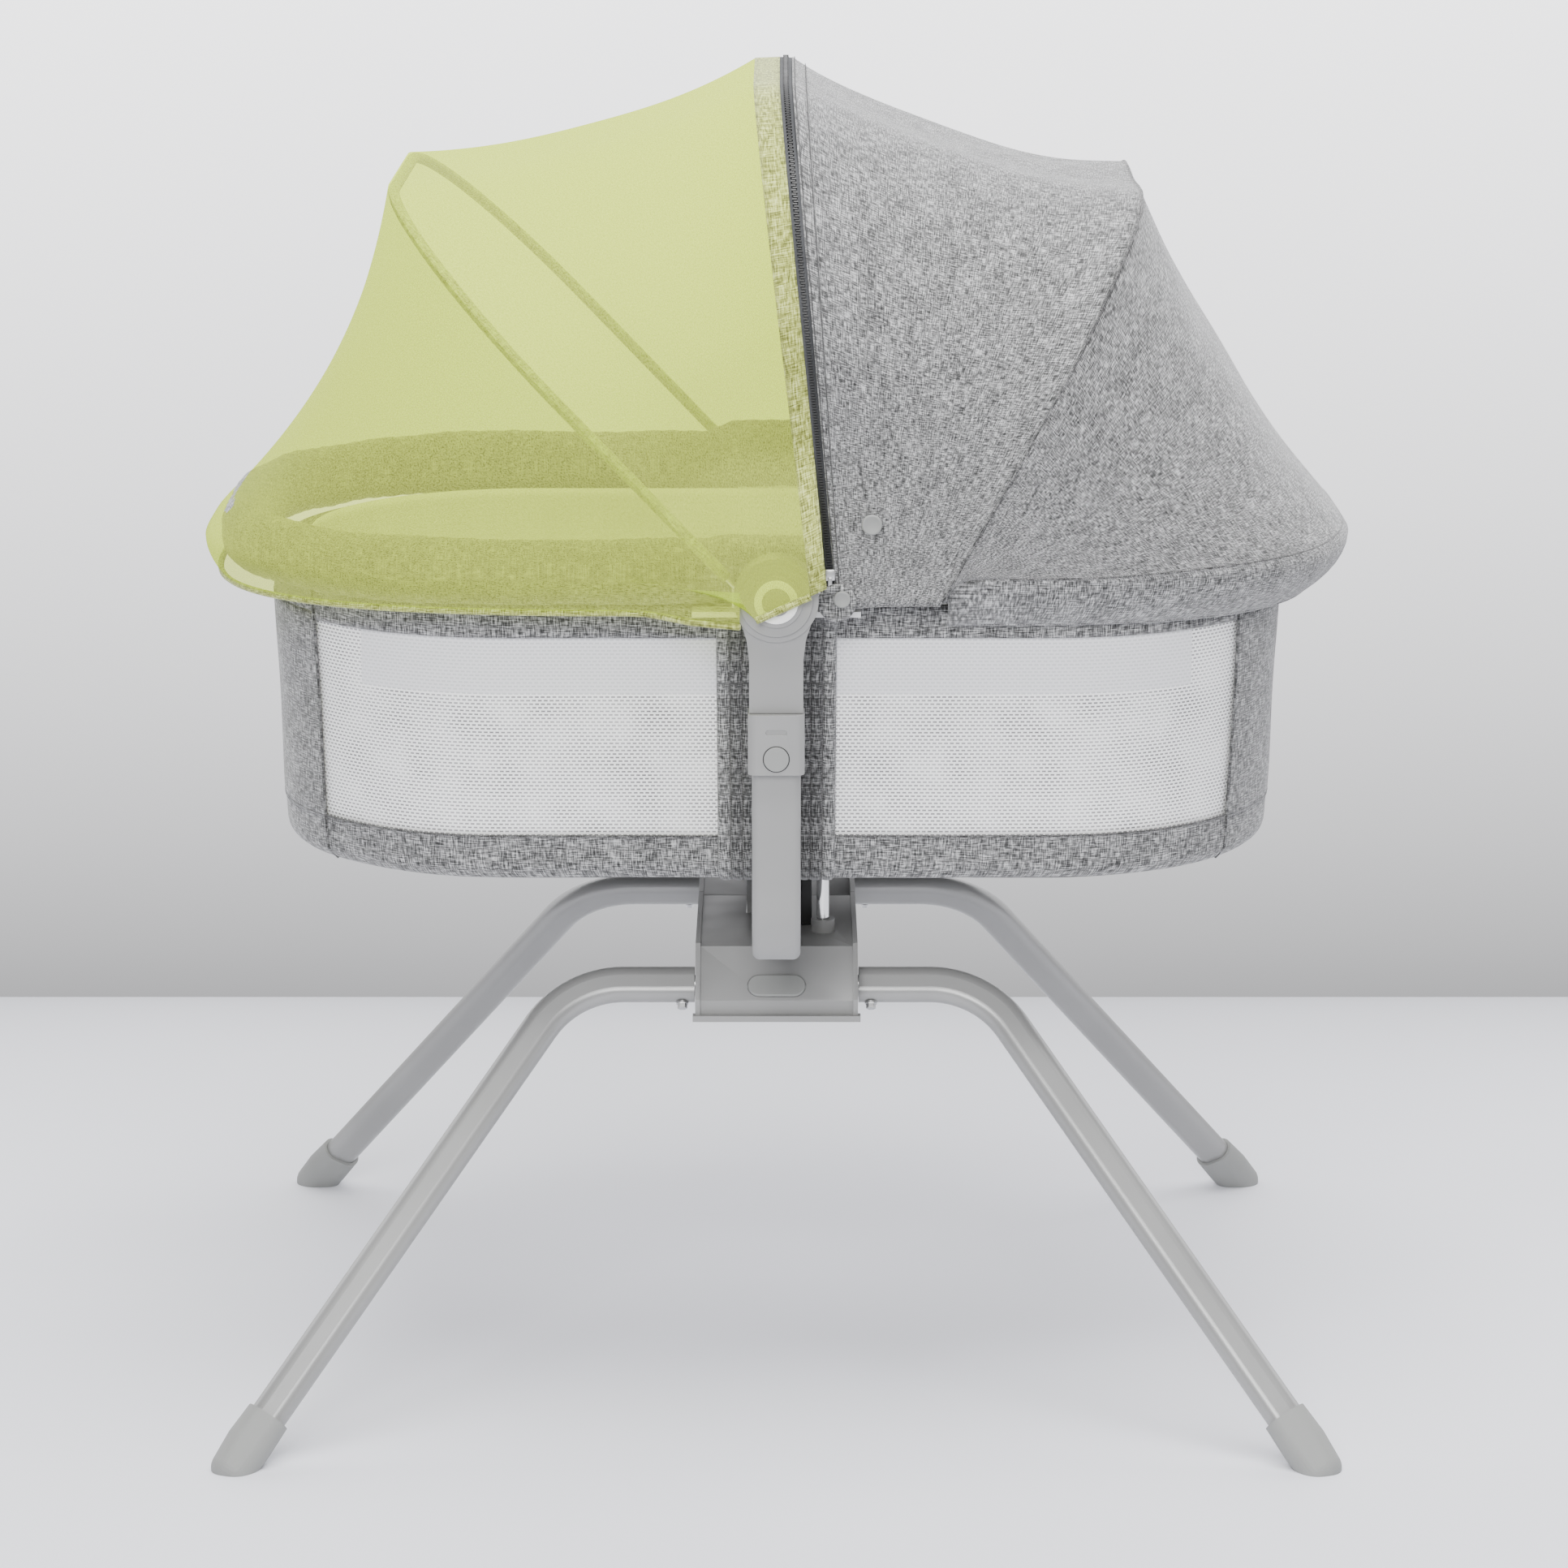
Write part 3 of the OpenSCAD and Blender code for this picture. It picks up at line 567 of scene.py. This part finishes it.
def wall_point(s, z, out=0.0):
    """A point of the basket's outside: it narrows a little downwards and rounds in at the bottom edge."""
    fall = (WALL_TOP - z) / (WALL_TOP - WALL_BOTTOM)
    inset = TAPER * fall
    under = max(0.0, HEM_ROUND - (z - WALL_BOTTOM)) / HEM_ROUND
    inset += HEM_ROUND * (1 - math.sqrt(max(0.0, 1 - under * under)))
    half_len, half_wid, corner = (size - inset + out for size in (BASKET_LEN, BASKET_WID, BASKET_CORNER))
    flat, normal = loop_point(s, half_len, half_wid, corner)
    flat.z = z
    return flat + normal * ripple(flat, 0.09, 0.0016) * (0.4 + fall)


def wall_band(name, z_low, z_high, rows, s_low, s_high, cols, skin, slot, out=0.0, thick=1.5 * MM):
    """A piece of the basket's wall between two heights and two places on its loop."""
    run = BASKET_RUN * (s_high - s_low)
    band = laid(name, cols, rows, (run, z_high - z_low),
                lambda u, v: wall_point(s_low + u * (s_high - s_low), z_low + v * (z_high - z_low), out),
                skin, slot, closed=s_high - s_low > 0.99, thick=thick)
    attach(band, "crib")
    return band


def wall_s(x):
    """Where on the wall's loop a given x lies, counted from the middle of the near side."""
    low, high = 0.0, 0.25
    for _ in range(30):
        mid = (low + high) / 2
        if loop_point(mid, BASKET_LEN, BASKET_WID, BASKET_CORNER)[0].x < x:
            low = mid
        else:
            high = mid
    return low


bottom_band = wall_band("basket_bottom_band", WALL_BOTTOM, WINDOW_BOTTOM + 2 * MM, 16, 0, 1, 420, HEATHER,
                        "heather_fabric", 0.6 * MM)
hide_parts("basket_wall")
wall_band("basket_top_band", WINDOW_TOP - 6 * MM, WALL_TOP, 6, 0, 1, 420, HEATHER, "heather_fabric", 0.8 * MM)
S_IN, S_OUT = wall_s(WINDOW_IN), wall_s(WINDOW_OUT)
WINDOW_LAP = 0.002
for label, low, high in (("right", S_OUT, 0.5 - S_OUT), ("left", 0.5 + S_OUT, 1 - S_OUT)):
    wall_band(f"end_panel_{label}", WINDOW_BOTTOM, WINDOW_TOP, 24, low, high, 120, HEATHER, "heather_fabric")
for label, mid in (("front", 0.0), ("rear", 0.5)):
    wall_band(f"centre_panel_{label}", WINDOW_BOTTOM, WINDOW_TOP, 30, mid - S_IN, mid + S_IN, 30,
              HEATHER_DARK, "heather_fabric", -1.5 * MM)
for label, low, high in (("front_right", S_IN, S_OUT), ("front_left", -S_OUT, -S_IN),
                         ("rear_right", 0.5 - S_OUT, 0.5 - S_IN), ("rear_left", 0.5 + S_IN, 0.5 + S_OUT)):
    window = wall_band(f"mesh_window_{label}", WINDOW_BOTTOM - 2 * MM, WINDOW_TOP, 30, low - WINDOW_LAP,
                       high + WINDOW_LAP, 70, MESH, "white_mesh", -2.2 * MM, thick=0.0)
    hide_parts("mesh_" + label)


def seam(name, points, radius=0.9 * MM, skin=HEATHER_DARK, body="crib"):
    """A raised seam, stitch line or piping along points."""
    made = tube_along(name, points, radius, 8, skin, "heather_fabric")
    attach(made, body)
    return made


def steps(low, high, count):
    """Even steps from low to high, with both ends."""
    return [low + (high - low) * i / count for i in range(count + 1)]


for label, edge in (("fr", S_OUT), ("fl", -S_OUT), ("rr", 0.5 - S_OUT), ("rl", 0.5 + S_OUT)):
    heights = steps(WALL_BOTTOM + 2 * MM, WALL_TOP, 24)
    seam(f"end_seam_{label}", [wall_point(edge, z, 1.2 * MM) for z in heights], 1.3 * MM)
seam("bottom_band_seam", [wall_point(s, WINDOW_BOTTOM + 2 * MM, 0.8 * MM) for s in steps(0, 0.9999, 400)])


def pleat(name, centre, half, skin):
    """A narrow padded pleat beside the post, from the rim down to the bottom edge."""
    def place(u, v):
        z = WALL_BOTTOM + 1 * MM + v * (WALL_TOP - WALL_BOTTOM - 1 * MM)
        bulge = 0.75 * half * math.sin(math.pi * u) ** 0.6 if 0 < u < 1 else 0.0
        return wall_point(centre + (u - 0.5) * 2 * wall_s(half), z, bulge + 0.6 * MM)

    made = laid(name, 12, 60, (2.4 * half, WALL_TOP - WALL_BOTTOM), place, skin, "heather_fabric",
                thick=1.0 * MM)
    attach(made, "crib")


for label, base in (("front", 0.0), ("rear", 0.5)):
    for sign, hand in ((-1, "l"), (1, "r")):
        pleat(f"binding_{label}_{hand}", base + sign * wall_s(42 * MM), 4.6 * MM, HEATHER)
        pleat(f"pleat_{label}_{hand}", base + sign * wall_s(32 * MM), 4.6 * MM, HEATHER_DARK)
        pleat(f"inner_pleat_{label}_{hand}", base + sign * wall_s(23.5 * MM), 3.6 * MM, HEATHER_DARK)


def floor_place(u, v):
    """The basket's fabric floor, under the board, closed in the middle."""
    inset = TAPER + HEM_ROUND
    flat, _ = loop_point(u, BASKET_LEN - inset, BASKET_WID - inset, BASKET_CORNER - inset)
    point = flat * (1 - v * 0.999)
    point.z = WALL_BOTTOM - 0.2 * MM - 1.5 * MM * math.sin(math.pi * v)
    return point


under = laid("basket_floor_cloth", 160, 8, (BASKET_RUN, BASKET_WID), floor_place, HEATHER_DARK,
             "heather_fabric", closed=True)
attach(under, "crib")
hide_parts("base_board")

SKIRT_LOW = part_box("inner_skirt")[0][2]


LINING_IN = 8 * MM


def lining_place(u, v):
    """The white lining: gathered at its lower edge and turned in under the rim pad."""
    half_len, half_wid, corner = (size - LINING_IN for size in (BASKET_LEN, BASKET_WID, BASKET_CORNER))
    flat, normal = loop_point(u, half_len, half_wid, corner)
    flat.z = SKIRT_LOW + v * (WALL_TOP + 6 * MM - SKIRT_LOW)
    return flat - normal * (2 * MM + 2.2 * MM * math.sin(u * 300) * (1 - v) + 10 * MM * v)


lining = laid("inner_skirt_cloth", 420, 10, (BASKET_RUN, 75 * MM), lining_place, COTTON, "white_fabric",
              closed=True, thick=0.8 * MM)
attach(lining, "crib")
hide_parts("inner_skirt")


# ---------- mattress ----------

MAT_LOW, MAT_HIGH = (Vector(c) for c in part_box("mattress"))
MAT_HIGH.x -= TAPER
MAT_HIGH.y -= TAPER
MAT_CORNER = BASKET_CORNER - 9 * MM
QUILT = 60 * MM
QUILT_DEPTH = 4 * MM


def mattress_blank():
    """The mattress's soft outline as a closed bag: two quilted faces and a rounded edge."""
    bm = bmesh.new()
    bmesh.ops.create_grid(bm, x_segments=96, y_segments=60, size=0.5, calc_uvs=True)
    sheet_uv = bm.loops.layers.uv.verify()
    for face in bm.faces:
        for loop in face.loops:
            loop[sheet_uv].uv = (loop.vert.co.x * 2 * MAT_HIGH.x, loop.vert.co.y * 2 * MAT_HIGH.y)
    for vert in bm.verts:
        # The square grid is squeezed into the rounded outline along rays from the middle.
        x, y = vert.co.x * 2, vert.co.y * 2
        ring = max(abs(x), abs(y))
        if ring > 0:
            dx, dy = x / ring * MAT_HIGH.x, y / ring * MAT_HIGH.y
            straight_x, straight_y = MAT_HIGH.x - MAT_CORNER, MAT_HIGH.y - MAT_CORNER
            over_x, over_y = abs(dx) - straight_x, abs(dy) - straight_y
            if over_x > 0 and over_y > 0:
                pull = max(over_x, over_y) / math.hypot(over_x, over_y)
                dx = math.copysign(straight_x + over_x * pull, dx)
                dy = math.copysign(straight_y + over_y * pull, dy)
            vert.co.x, vert.co.y = dx * ring, dy * ring
        crown = (1 - ring ** 8) ** 0.5
        across, along = vert.co.x / QUILT, vert.co.y / QUILT
        quilt = abs(math.sin(across + along) * math.sin(across - along))
        vert.co.z = (MAT_HIGH.z - MAT_LOW.z - QUILT_DEPTH + QUILT_DEPTH * min(1.0, quilt * 3)) * crown
    low = bmesh.ops.duplicate(bm, geom=bm.verts[:] + bm.edges[:] + bm.faces[:])
    for item in low["geom"]:
        if isinstance(item, bmesh.types.BMVert):
            item.co.z = 0.0
    for vert in bm.verts:
        vert.co.z += MAT_LOW.z
    bmesh.ops.remove_doubles(bm, verts=bm.verts, dist=0.0001)
    bmesh.ops.recalc_face_normals(bm, faces=bm.faces)
    return bm


mattress = publish("quilted_mattress", mattress_blank(), COTTON, "white_fabric")
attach(mattress, "crib")
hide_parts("mattress")


# ---------- hood ----------

HOOD_SAG = 17 * MM
END_SAG = 12 * MM
NET_SAG = 16 * MM
NET_END_SAG = 26 * MM
HOOD_HEM = 14 * MM
RIM_SHARE = 0.85


def flat_bottom(k):
    """How far the cloth's dip has opened at share k of its width: 0 at the hoops, 1 in the middle."""
    return 1 - abs(2 * k - 1) ** 2.6


def span(a, b, t, k, sag, below, out=0.0):
    """A point of the cloth stretched between hoops a and b."""
    dip = sag * flat_bottom(k) * min(1.0, 4 * min(t, 1 - t) + 0.25)
    p = a.at(t, dip - out, below)
    q = b.at(t, dip - out, below)
    return p + (q - p) * k


def rim_outline(t, side, knee, end, wid, power):
    """The line that an end cover follows round the rim, matched to t on its hoop."""
    a = math.pi * (t - 0.5)
    x = knee + side * (end - side * knee) * max(math.cos(a), 0.0) ** power
    y = math.copysign(wid * abs(math.sin(a)) ** power, a)
    return Vector((x, y, RIM_Z))


def end_cover(hoop, side, end, power, sag, drop, tuck, t, k, out=0.0, below=0.0):
    """Cloth from a hoop to the rim (k to RIM_SHARE), then down and in to its hem (k to 1)."""
    p = hoop.at(t, -out, below)
    rim = rim_outline(t, side, hoop.knee, end + out, hoop.wid + out, power)
    share = min(1.0, k / RIM_SHARE)
    point = p + (rim - p) * share
    dip = sag * math.sin(math.pi * t) ** 0.7 * 4 * share * (1 - share)
    point += Vector((-side * 0.87 * dip, 0, -0.5 * dip))
    if k > RIM_SHARE:
        fall = (k - RIM_SHARE) / (1 - RIM_SHARE)
        inward = Vector((rim.x - hoop.knee, rim.y, 0)).normalized()
        point += Vector((0, 0, -drop * fall)) - inward * tuck * fall ** 2
    return point


def hood_front_place(u, v, out=0.0):
    point = span(HOOD_FRONT, HOOD_REAR, u, v, HOOD_SAG, HOOD_HEM, out)
    return point + Vector((0, ripple(point, 0.11, 4 * MM), ripple(point * 1.3, 0.1, 3 * MM)))


def hood_rear_place(u, v, out=0.0):
    point = end_cover(HOOD_REAR, 1, COVER_END, 0.7, END_SAG, 42 * MM, 34 * MM, u, v, out,
                      HOOD_HEM * (1 - v) ** 4)
    return point + Vector((0.6, 0, 0.8)) * ripple(point, 0.1, 4 * MM) * 4 * v * (1 - v)


HOOD_THICK = 1.2 * MM
hood_flat = (HOOD_FRONT.run() + 2 * HOOD_HEM, 0.30)
hood_front = laid("hood_front_cloth", 150, 40, hood_flat, hood_front_place, HEATHER, "heather_fabric",
                  thick=HOOD_THICK)
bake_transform(hood_front)
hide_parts("hood_front_panel")

rear_flat = (HOOD_REAR.run() + 2 * HOOD_HEM, 0.40)
hood_rear = laid("hood_rear_cloth", 150, 48, rear_flat, hood_rear_place, HEATHER, "heather_fabric",
                 thick=HOOD_THICK)
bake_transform(hood_rear)
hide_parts("hood_rear_panel")

# Sewn details of the hood: the bow's seam, the zip-side binding with its stitch lines, the lower band's seam.
T_STEPS = steps(0.004, 0.996, 150)
seam("hood_bow_seam", [hood_front_place(t, 1.0, 1.2 * MM) for t in T_STEPS], 1.1 * MM, body="rear_hoop")


def strip(name, flat_width, place, skin, body, thick=0.8 * MM):
    """A narrow tape or binding that follows the front bow."""
    run = HOOD_FRONT.run()
    made = laid(name, 150, 4, (run, flat_width), place, skin, "heather_fabric", thick=thick, out=1.0)
    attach(made, body)
    return made


strip("hood_zip_binding", 11 * MM, lambda u, v: hood_front_place(u, v * 0.042, 1.6 * MM), HEATHER,
      "front_hoop")
for label, k in (("inner", 0.006), ("outer", 0.038)):
    stitches = [hood_front_place(t, k, 2.9 * MM) for t in T_STEPS]
    seam(f"hood_stitch_{label}", stitches, 0.35 * MM, THREAD, "front_hoop")
seam("hood_band_seam", [hood_rear_place(t, 0.83, 0.8 * MM) for t in steps(0.02, 0.98, 150)])
seam("hood_hem_cord", [hood_rear_place(t, 0.995, 0.4 * MM) for t in steps(0.01, 0.99, 150)], 1.6 * MM,
     HEATHER)


# ---------- zip ----------

TEETH_PITCH = 2.1 * MM
TEETH_SHIFT = 0.5 * MM
TOOTH_WIDE, TOOTH_DEEP, TOOTH_LONG = 3.4 * MM, 1.6 * MM, 1.3 * MM
TEETH_OUT = 0.9 * MM

strip("zip_tape", 8 * MM, lambda u, v: EDGE_NEAR_ZIP.at(u, -0.2 * MM).lerp(
    HOOD_FRONT.at(u, -0.2 * MM), v), ZIP_TAPE, "front_hoop", thick=0.5 * MM)


def teeth():
    """Moulded zip teeth: small blocks along the line, alternately from either tape."""
    run = ZIP_LINE.run()
    bm = bmesh.new()
    for i in range(int(run / TEETH_PITCH)):
        t = i * TEETH_PITCH / run
        here, ahead = ZIP_LINE.at(t, -TEETH_OUT), ZIP_LINE.at(min(1, t + 0.002), -TEETH_OUT)
        along = (ahead - here).normalized() if (ahead - here).length > 1e-6 else Vector((0, 0, -1))
        made = bmesh.ops.create_cube(bm, size=1.0)["verts"]
        wide = Vector((1, 0, 0))
        deep = along.cross(wide).normalized()
        shift = wide * (TEETH_SHIFT if i % 2 else -TEETH_SHIFT)
        for vert in made:
            x, y, z = vert.co
            vert.co = here + shift + along * z * TOOTH_LONG + wide * x * TOOTH_WIDE + deep * y * TOOTH_DEEP
    bmesh.ops.recalc_face_normals(bm, faces=bm.faces)
    return bm


zip_teeth = publish("zip_teeth", teeth(), PA_BLACK, "black_plastic", smooth=False)
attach(zip_teeth, "front_hoop")


def block(name, centre, size, radius, skin, slot, body):
    """A small moulded block with rounded edges."""
    bm = bmesh.new()
    bmesh.ops.create_cube(bm, size=1.0)
    for vert in bm.verts:
        vert.co = Vector(centre) + Vector([vert.co[i] * size[i] for i in range(3)])
    bmesh.ops.bevel(bm, geom=bm.edges[:], offset=radius, segments=3, profile=0.5, affect="EDGES", material=-1)
    made = publish(name, bm, skin, slot)
    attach(made, body)
    return made


def button_disc(name, centre, radius, thick, skin, slot, body):
    """A round moulded snap with a soft rim and a dished face, facing -Y."""
    bm = bmesh.new()
    outline = [(0.0, thick * 0.8), (radius * 0.7, thick * 0.75), (radius * 0.82, thick),
               (radius * 0.95, thick * 0.9), (radius, thick * 0.5), (radius, 0.0), (0.0, 0.0)]
    verts = [bm.verts.new((r, -y, 0)) for r, y in outline]
    edges = [bm.edges.new((verts[i], verts[i + 1])) for i in range(len(verts) - 1)]
    bmesh.ops.spin(bm, geom=verts + edges, cent=(0, 0, 0), axis=(0, 1, 0), angle=2 * math.pi, steps=32,
                   use_merge=True)
    bmesh.ops.remove_doubles(bm, verts=bm.verts, dist=0.00001)
    bmesh.ops.recalc_face_normals(bm, faces=bm.faces)
    for vert in bm.verts:
        vert.co += Vector(centre)
    made = publish(name, bm, skin, slot)
    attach(made, body)
    return made


# A thin black ring round each height button: painted shadow in the gap between button and collar.
GAP_R = 10.1 * MM
for side, label in ((-1, "front"), (1, "rear")):
    button = middle(f"{label}_height_button")
    gap_y = side * (abs(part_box("front_collar")[0][1]) + 0.1 * MM)
    circle = [Vector((GAP_R * math.cos(a), gap_y, button.z + GAP_R * math.sin(a)))
              for a in steps(0, 2 * math.pi, 48)[:-1]]
    gap = tube_along(f"button_gap_shadow_{label}", circle, 0.4 * MM, 6, PA_BLACK, "black_plastic", closed=True)
    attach(gap, "posts")

slider_at = ZIP_LINE.at(0.012, -2.0 * MM)
block("zip_slider", slider_at, (8 * MM, 3.0 * MM, 9 * MM), 1.0 * MM, ZINC, "steel", "front_hoop")
block("zip_puller", slider_at + Vector((0, -2.2 * MM, -7 * MM)), (3.4 * MM, 1.2 * MM, 11 * MM), 0.5 * MM,
      ZINC, "steel", "front_hoop")

# The hood's snaps and tab: name, x, how far outside the hood, height, radius, thickness, material and slot.
FASTENERS = (("hood_snap", 74 * MM, 3.0 * MM, 745 * MM, 8 * MM, 2.2 * MM, PP_BOOT, "light_plastic"),
             ("tab_snap", 51 * MM, 7.0 * MM, HUB_Z - 4 * MM, 6.6 * MM, 2.2 * MM, PP_BOOT, "light_plastic"),
             ("hood_tab", 47 * MM, 4.6 * MM, HUB_Z - 7 * MM, 15 * MM, 2.4 * MM, HEATHER, "heather_fabric"))


def fasteners(label, far):
    """The snaps and tab on one side; those on the far side are turned over to face +Y."""
    for name, x, out, z, radius, thick, skin, slot in FASTENERS:
        place = (x, -HOOD_FRONT.wid - out, z)
        made = button_disc(f"{name}_{label}", place, radius, thick, skin, slot, "front_hoop")
        if far:
            for vert in made.data.vertices:
                vert.co.y = -vert.co.y
            made.data.flip_normals()


fasteners("near", False)
fasteners("far", True)


# ---------- net ----------

HEAD_R, HEAD_OUT = 34 * MM, -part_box("front_hub_cap")[0][1]
HEAD_GAP = 5 * MM
SWELL_START = HEAD_R + 6 * MM
SWELL_FADE = 75 * MM


def over_hub(point):
    """The net swells out where it passes over the post's round head."""
    away = math.hypot(point.x, point.z - HUB_Z)
    full = HEAD_OUT + HEAD_GAP - abs(point.y)
    if full <= 0:
        return point
    fade = 1 - min(1.0, max(0.0, (away - SWELL_START) / SWELL_FADE))
    lift = full * fade * fade * (3 - 2 * fade)
    return point + Vector((0, math.copysign(lift, point.y), 0))


def net_mid_place(u, v, out=0.0):
    point = span(EDGE_FAR, NET_COVER, u, v, NET_SAG, (-6 + 24 * v) * MM, out)
    return over_hub(point)


def net_end_place(u, v, out=0.0):
    point = end_cover(NET_COVER, -1, COVER_END, 0.62, NET_END_SAG, 27 * MM, 12 * MM, u, v, out,
                      18 * MM * (1 - v) ** 4)
    return over_hub(point)


net_mid_flat = (NET_COVER.run(), 0.36)
net_mid = laid("net_mid_cloth", 150, 40, net_mid_flat, net_mid_place, NET, "lime_net")
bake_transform(net_mid)
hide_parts("net_mid_panel")

net_end_flat = (NET_COVER.run(), 0.40)
net_end = laid("net_end_cloth", 150, 48, net_end_flat, net_end_place, NET, "lime_net")
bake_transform(net_end)
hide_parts("net_end_panel")

edge = strip("net_zip_binding", 13 * MM, lambda u, v: over_hub(EDGE_FAR.at(u, -0.3 * MM, -6 * MM).lerp(
    EDGE_NEAR_ZIP.at(u, -0.3 * MM, -12 * MM), v)), LIME_HEATHER, "net_front")
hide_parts("net_edge")
sleeve = tube_along("net_bow_sleeve", [NET_BOW.at(t) for t in steps(0.012, 0.988, 160)], 4.6 * MM, 10,
                    LIME_HEATHER, "heather_fabric")
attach(sleeve, "net_hoop")
seam("net_end_hem", [net_end_place(t, 1.0) for t in steps(0.0, 1.0, 160)], 2.6 * MM, LIME_HEATHER)
for t_foot, label in ((0.0, "near"), (1.0, "far")):
    low_edge = [net_mid_place(t_foot, k, 0.6 * MM) for k in steps(0, 1, 24)]
    seam(f"net_mid_hem_{label}", low_edge, 3.0 * MM, LIME_HEATHER, "net_front")


# ---------- floor, light and camera ----------

FLOOR, floor_tree = material("pale_studio_floor")
floor_where = add(floor_tree, "TexCoord").outputs["Object"]
floor_noise = add(floor_tree, "TexNoise", {"Vector": floor_where}, Scale=2.0)
floor_tone = ramp(floor_tree, floor_noise.outputs[0], [(0.3, "#e6e7ee"), (0.7, "#ebecf3")])
finish(floor_tree, add(floor_tree, "BsdfPrincipled", {"Base Color": floor_tone.outputs[0]}, Roughness=0.6))
BACKDROP, wall_tree = material("graded_studio_backdrop")
wall_height = add(wall_tree, "SeparateXYZ", {0: add(wall_tree, "TexCoord").outputs["Object"]})
wall_light = add(wall_tree, "MapRange", {"Value": wall_height.outputs[2]}, From_Min=0.0, From_Max=1.05,
                 To_Min=0.62, To_Max=3.2)
wall_glow = add(wall_tree, "Emission", {"Strength": wall_light.outputs[0]}, Color=colour("#fcfcff"))
# Seen from behind the backdrop is clear, so that it hides nothing.
wall_back = add(wall_tree, "NewGeometry").outputs["Backfacing"]
wall_clear = add(wall_tree, "BsdfTransparent")
wall_mix = {0: wall_back, 1: wall_glow.outputs[0], 2: wall_clear.outputs[0]}
finish(wall_tree, add(wall_tree, "MixShader", wall_mix))
STAGE = 8
BACK_WALL = 1.04
WALL_HEIGHT = 3


def stage_plane(name, corners, skin):
    """One flat face of the studio, which isn't part of the object."""
    bm = bmesh.new()
    bm.faces.new([bm.verts.new(corner) for corner in corners])
    mesh = bpy.data.meshes.new(name)
    bm.to_mesh(mesh)
    bm.free()
    made = bpy.data.objects.new(name, mesh)
    bpy.context.scene.collection.objects.link(made)
    mesh.materials.append(skin)


stage_plane("studio_floor", [(-STAGE, -STAGE, 0), (STAGE, -STAGE, 0), (STAGE, STAGE, 0), (-STAGE, STAGE, 0)],
            FLOOR)
stage_plane("studio_backdrop", [(-STAGE, BACK_WALL, 0), (STAGE, BACK_WALL, 0),
                                (STAGE, BACK_WALL, WALL_HEIGHT), (-STAGE, BACK_WALL, WALL_HEIGHT)], BACKDROP)

world = bpy.data.worlds.new("studio")
bpy.context.scene.world = world
world.use_nodes = True
world.node_tree.nodes["Background"].inputs[0].default_value = colour("#f1f1f3")
world.node_tree.nodes["Background"].inputs[1].default_value = 0.3


AIM = (0, 0, 0.6)


def soft_light(name, place, size, power):
    """A soft box that faces the middle of the object."""
    lamp = bpy.data.lights.new(name, "AREA")
    lamp.shape, lamp.size, lamp.size_y, lamp.energy = "RECTANGLE", size[0], size[1], power
    made = bpy.data.objects.new(name, lamp)
    bpy.context.scene.collection.objects.link(made)
    made.location = place
    made.rotation_euler = (Vector(AIM) - Vector(place)).to_track_quat("-Z", "Y").to_euler()


soft_light("top_softbox", (0.2, -0.6, 3.2), (2.4, 1.6), 150)
soft_light("front_softbox", (-0.5, -4.2, 2.4), (1.8, 1.8), 190)
soft_light("right_strip", (2.6, -2.4, 1.4), (0.6, 2.2), 12)

SENSOR = 36.0
LENS = 122.98
PITCH = 0.2258
STAND_OFF, EYE_HEIGHT, EYE_SIDE = 4.391, 1.477, 0.006
camera_data = bpy.data.cameras.new("view")
camera_data.sensor_width = SENSOR
camera_data.lens = LENS
camera = bpy.data.objects.new("view", camera_data)
bpy.context.scene.collection.objects.link(camera)
camera.location = (EYE_SIDE, -STAND_OFF, EYE_HEIGHT)
camera.rotation_euler = (math.pi / 2 - PITCH, 0, 0)
bpy.context.scene.camera = camera
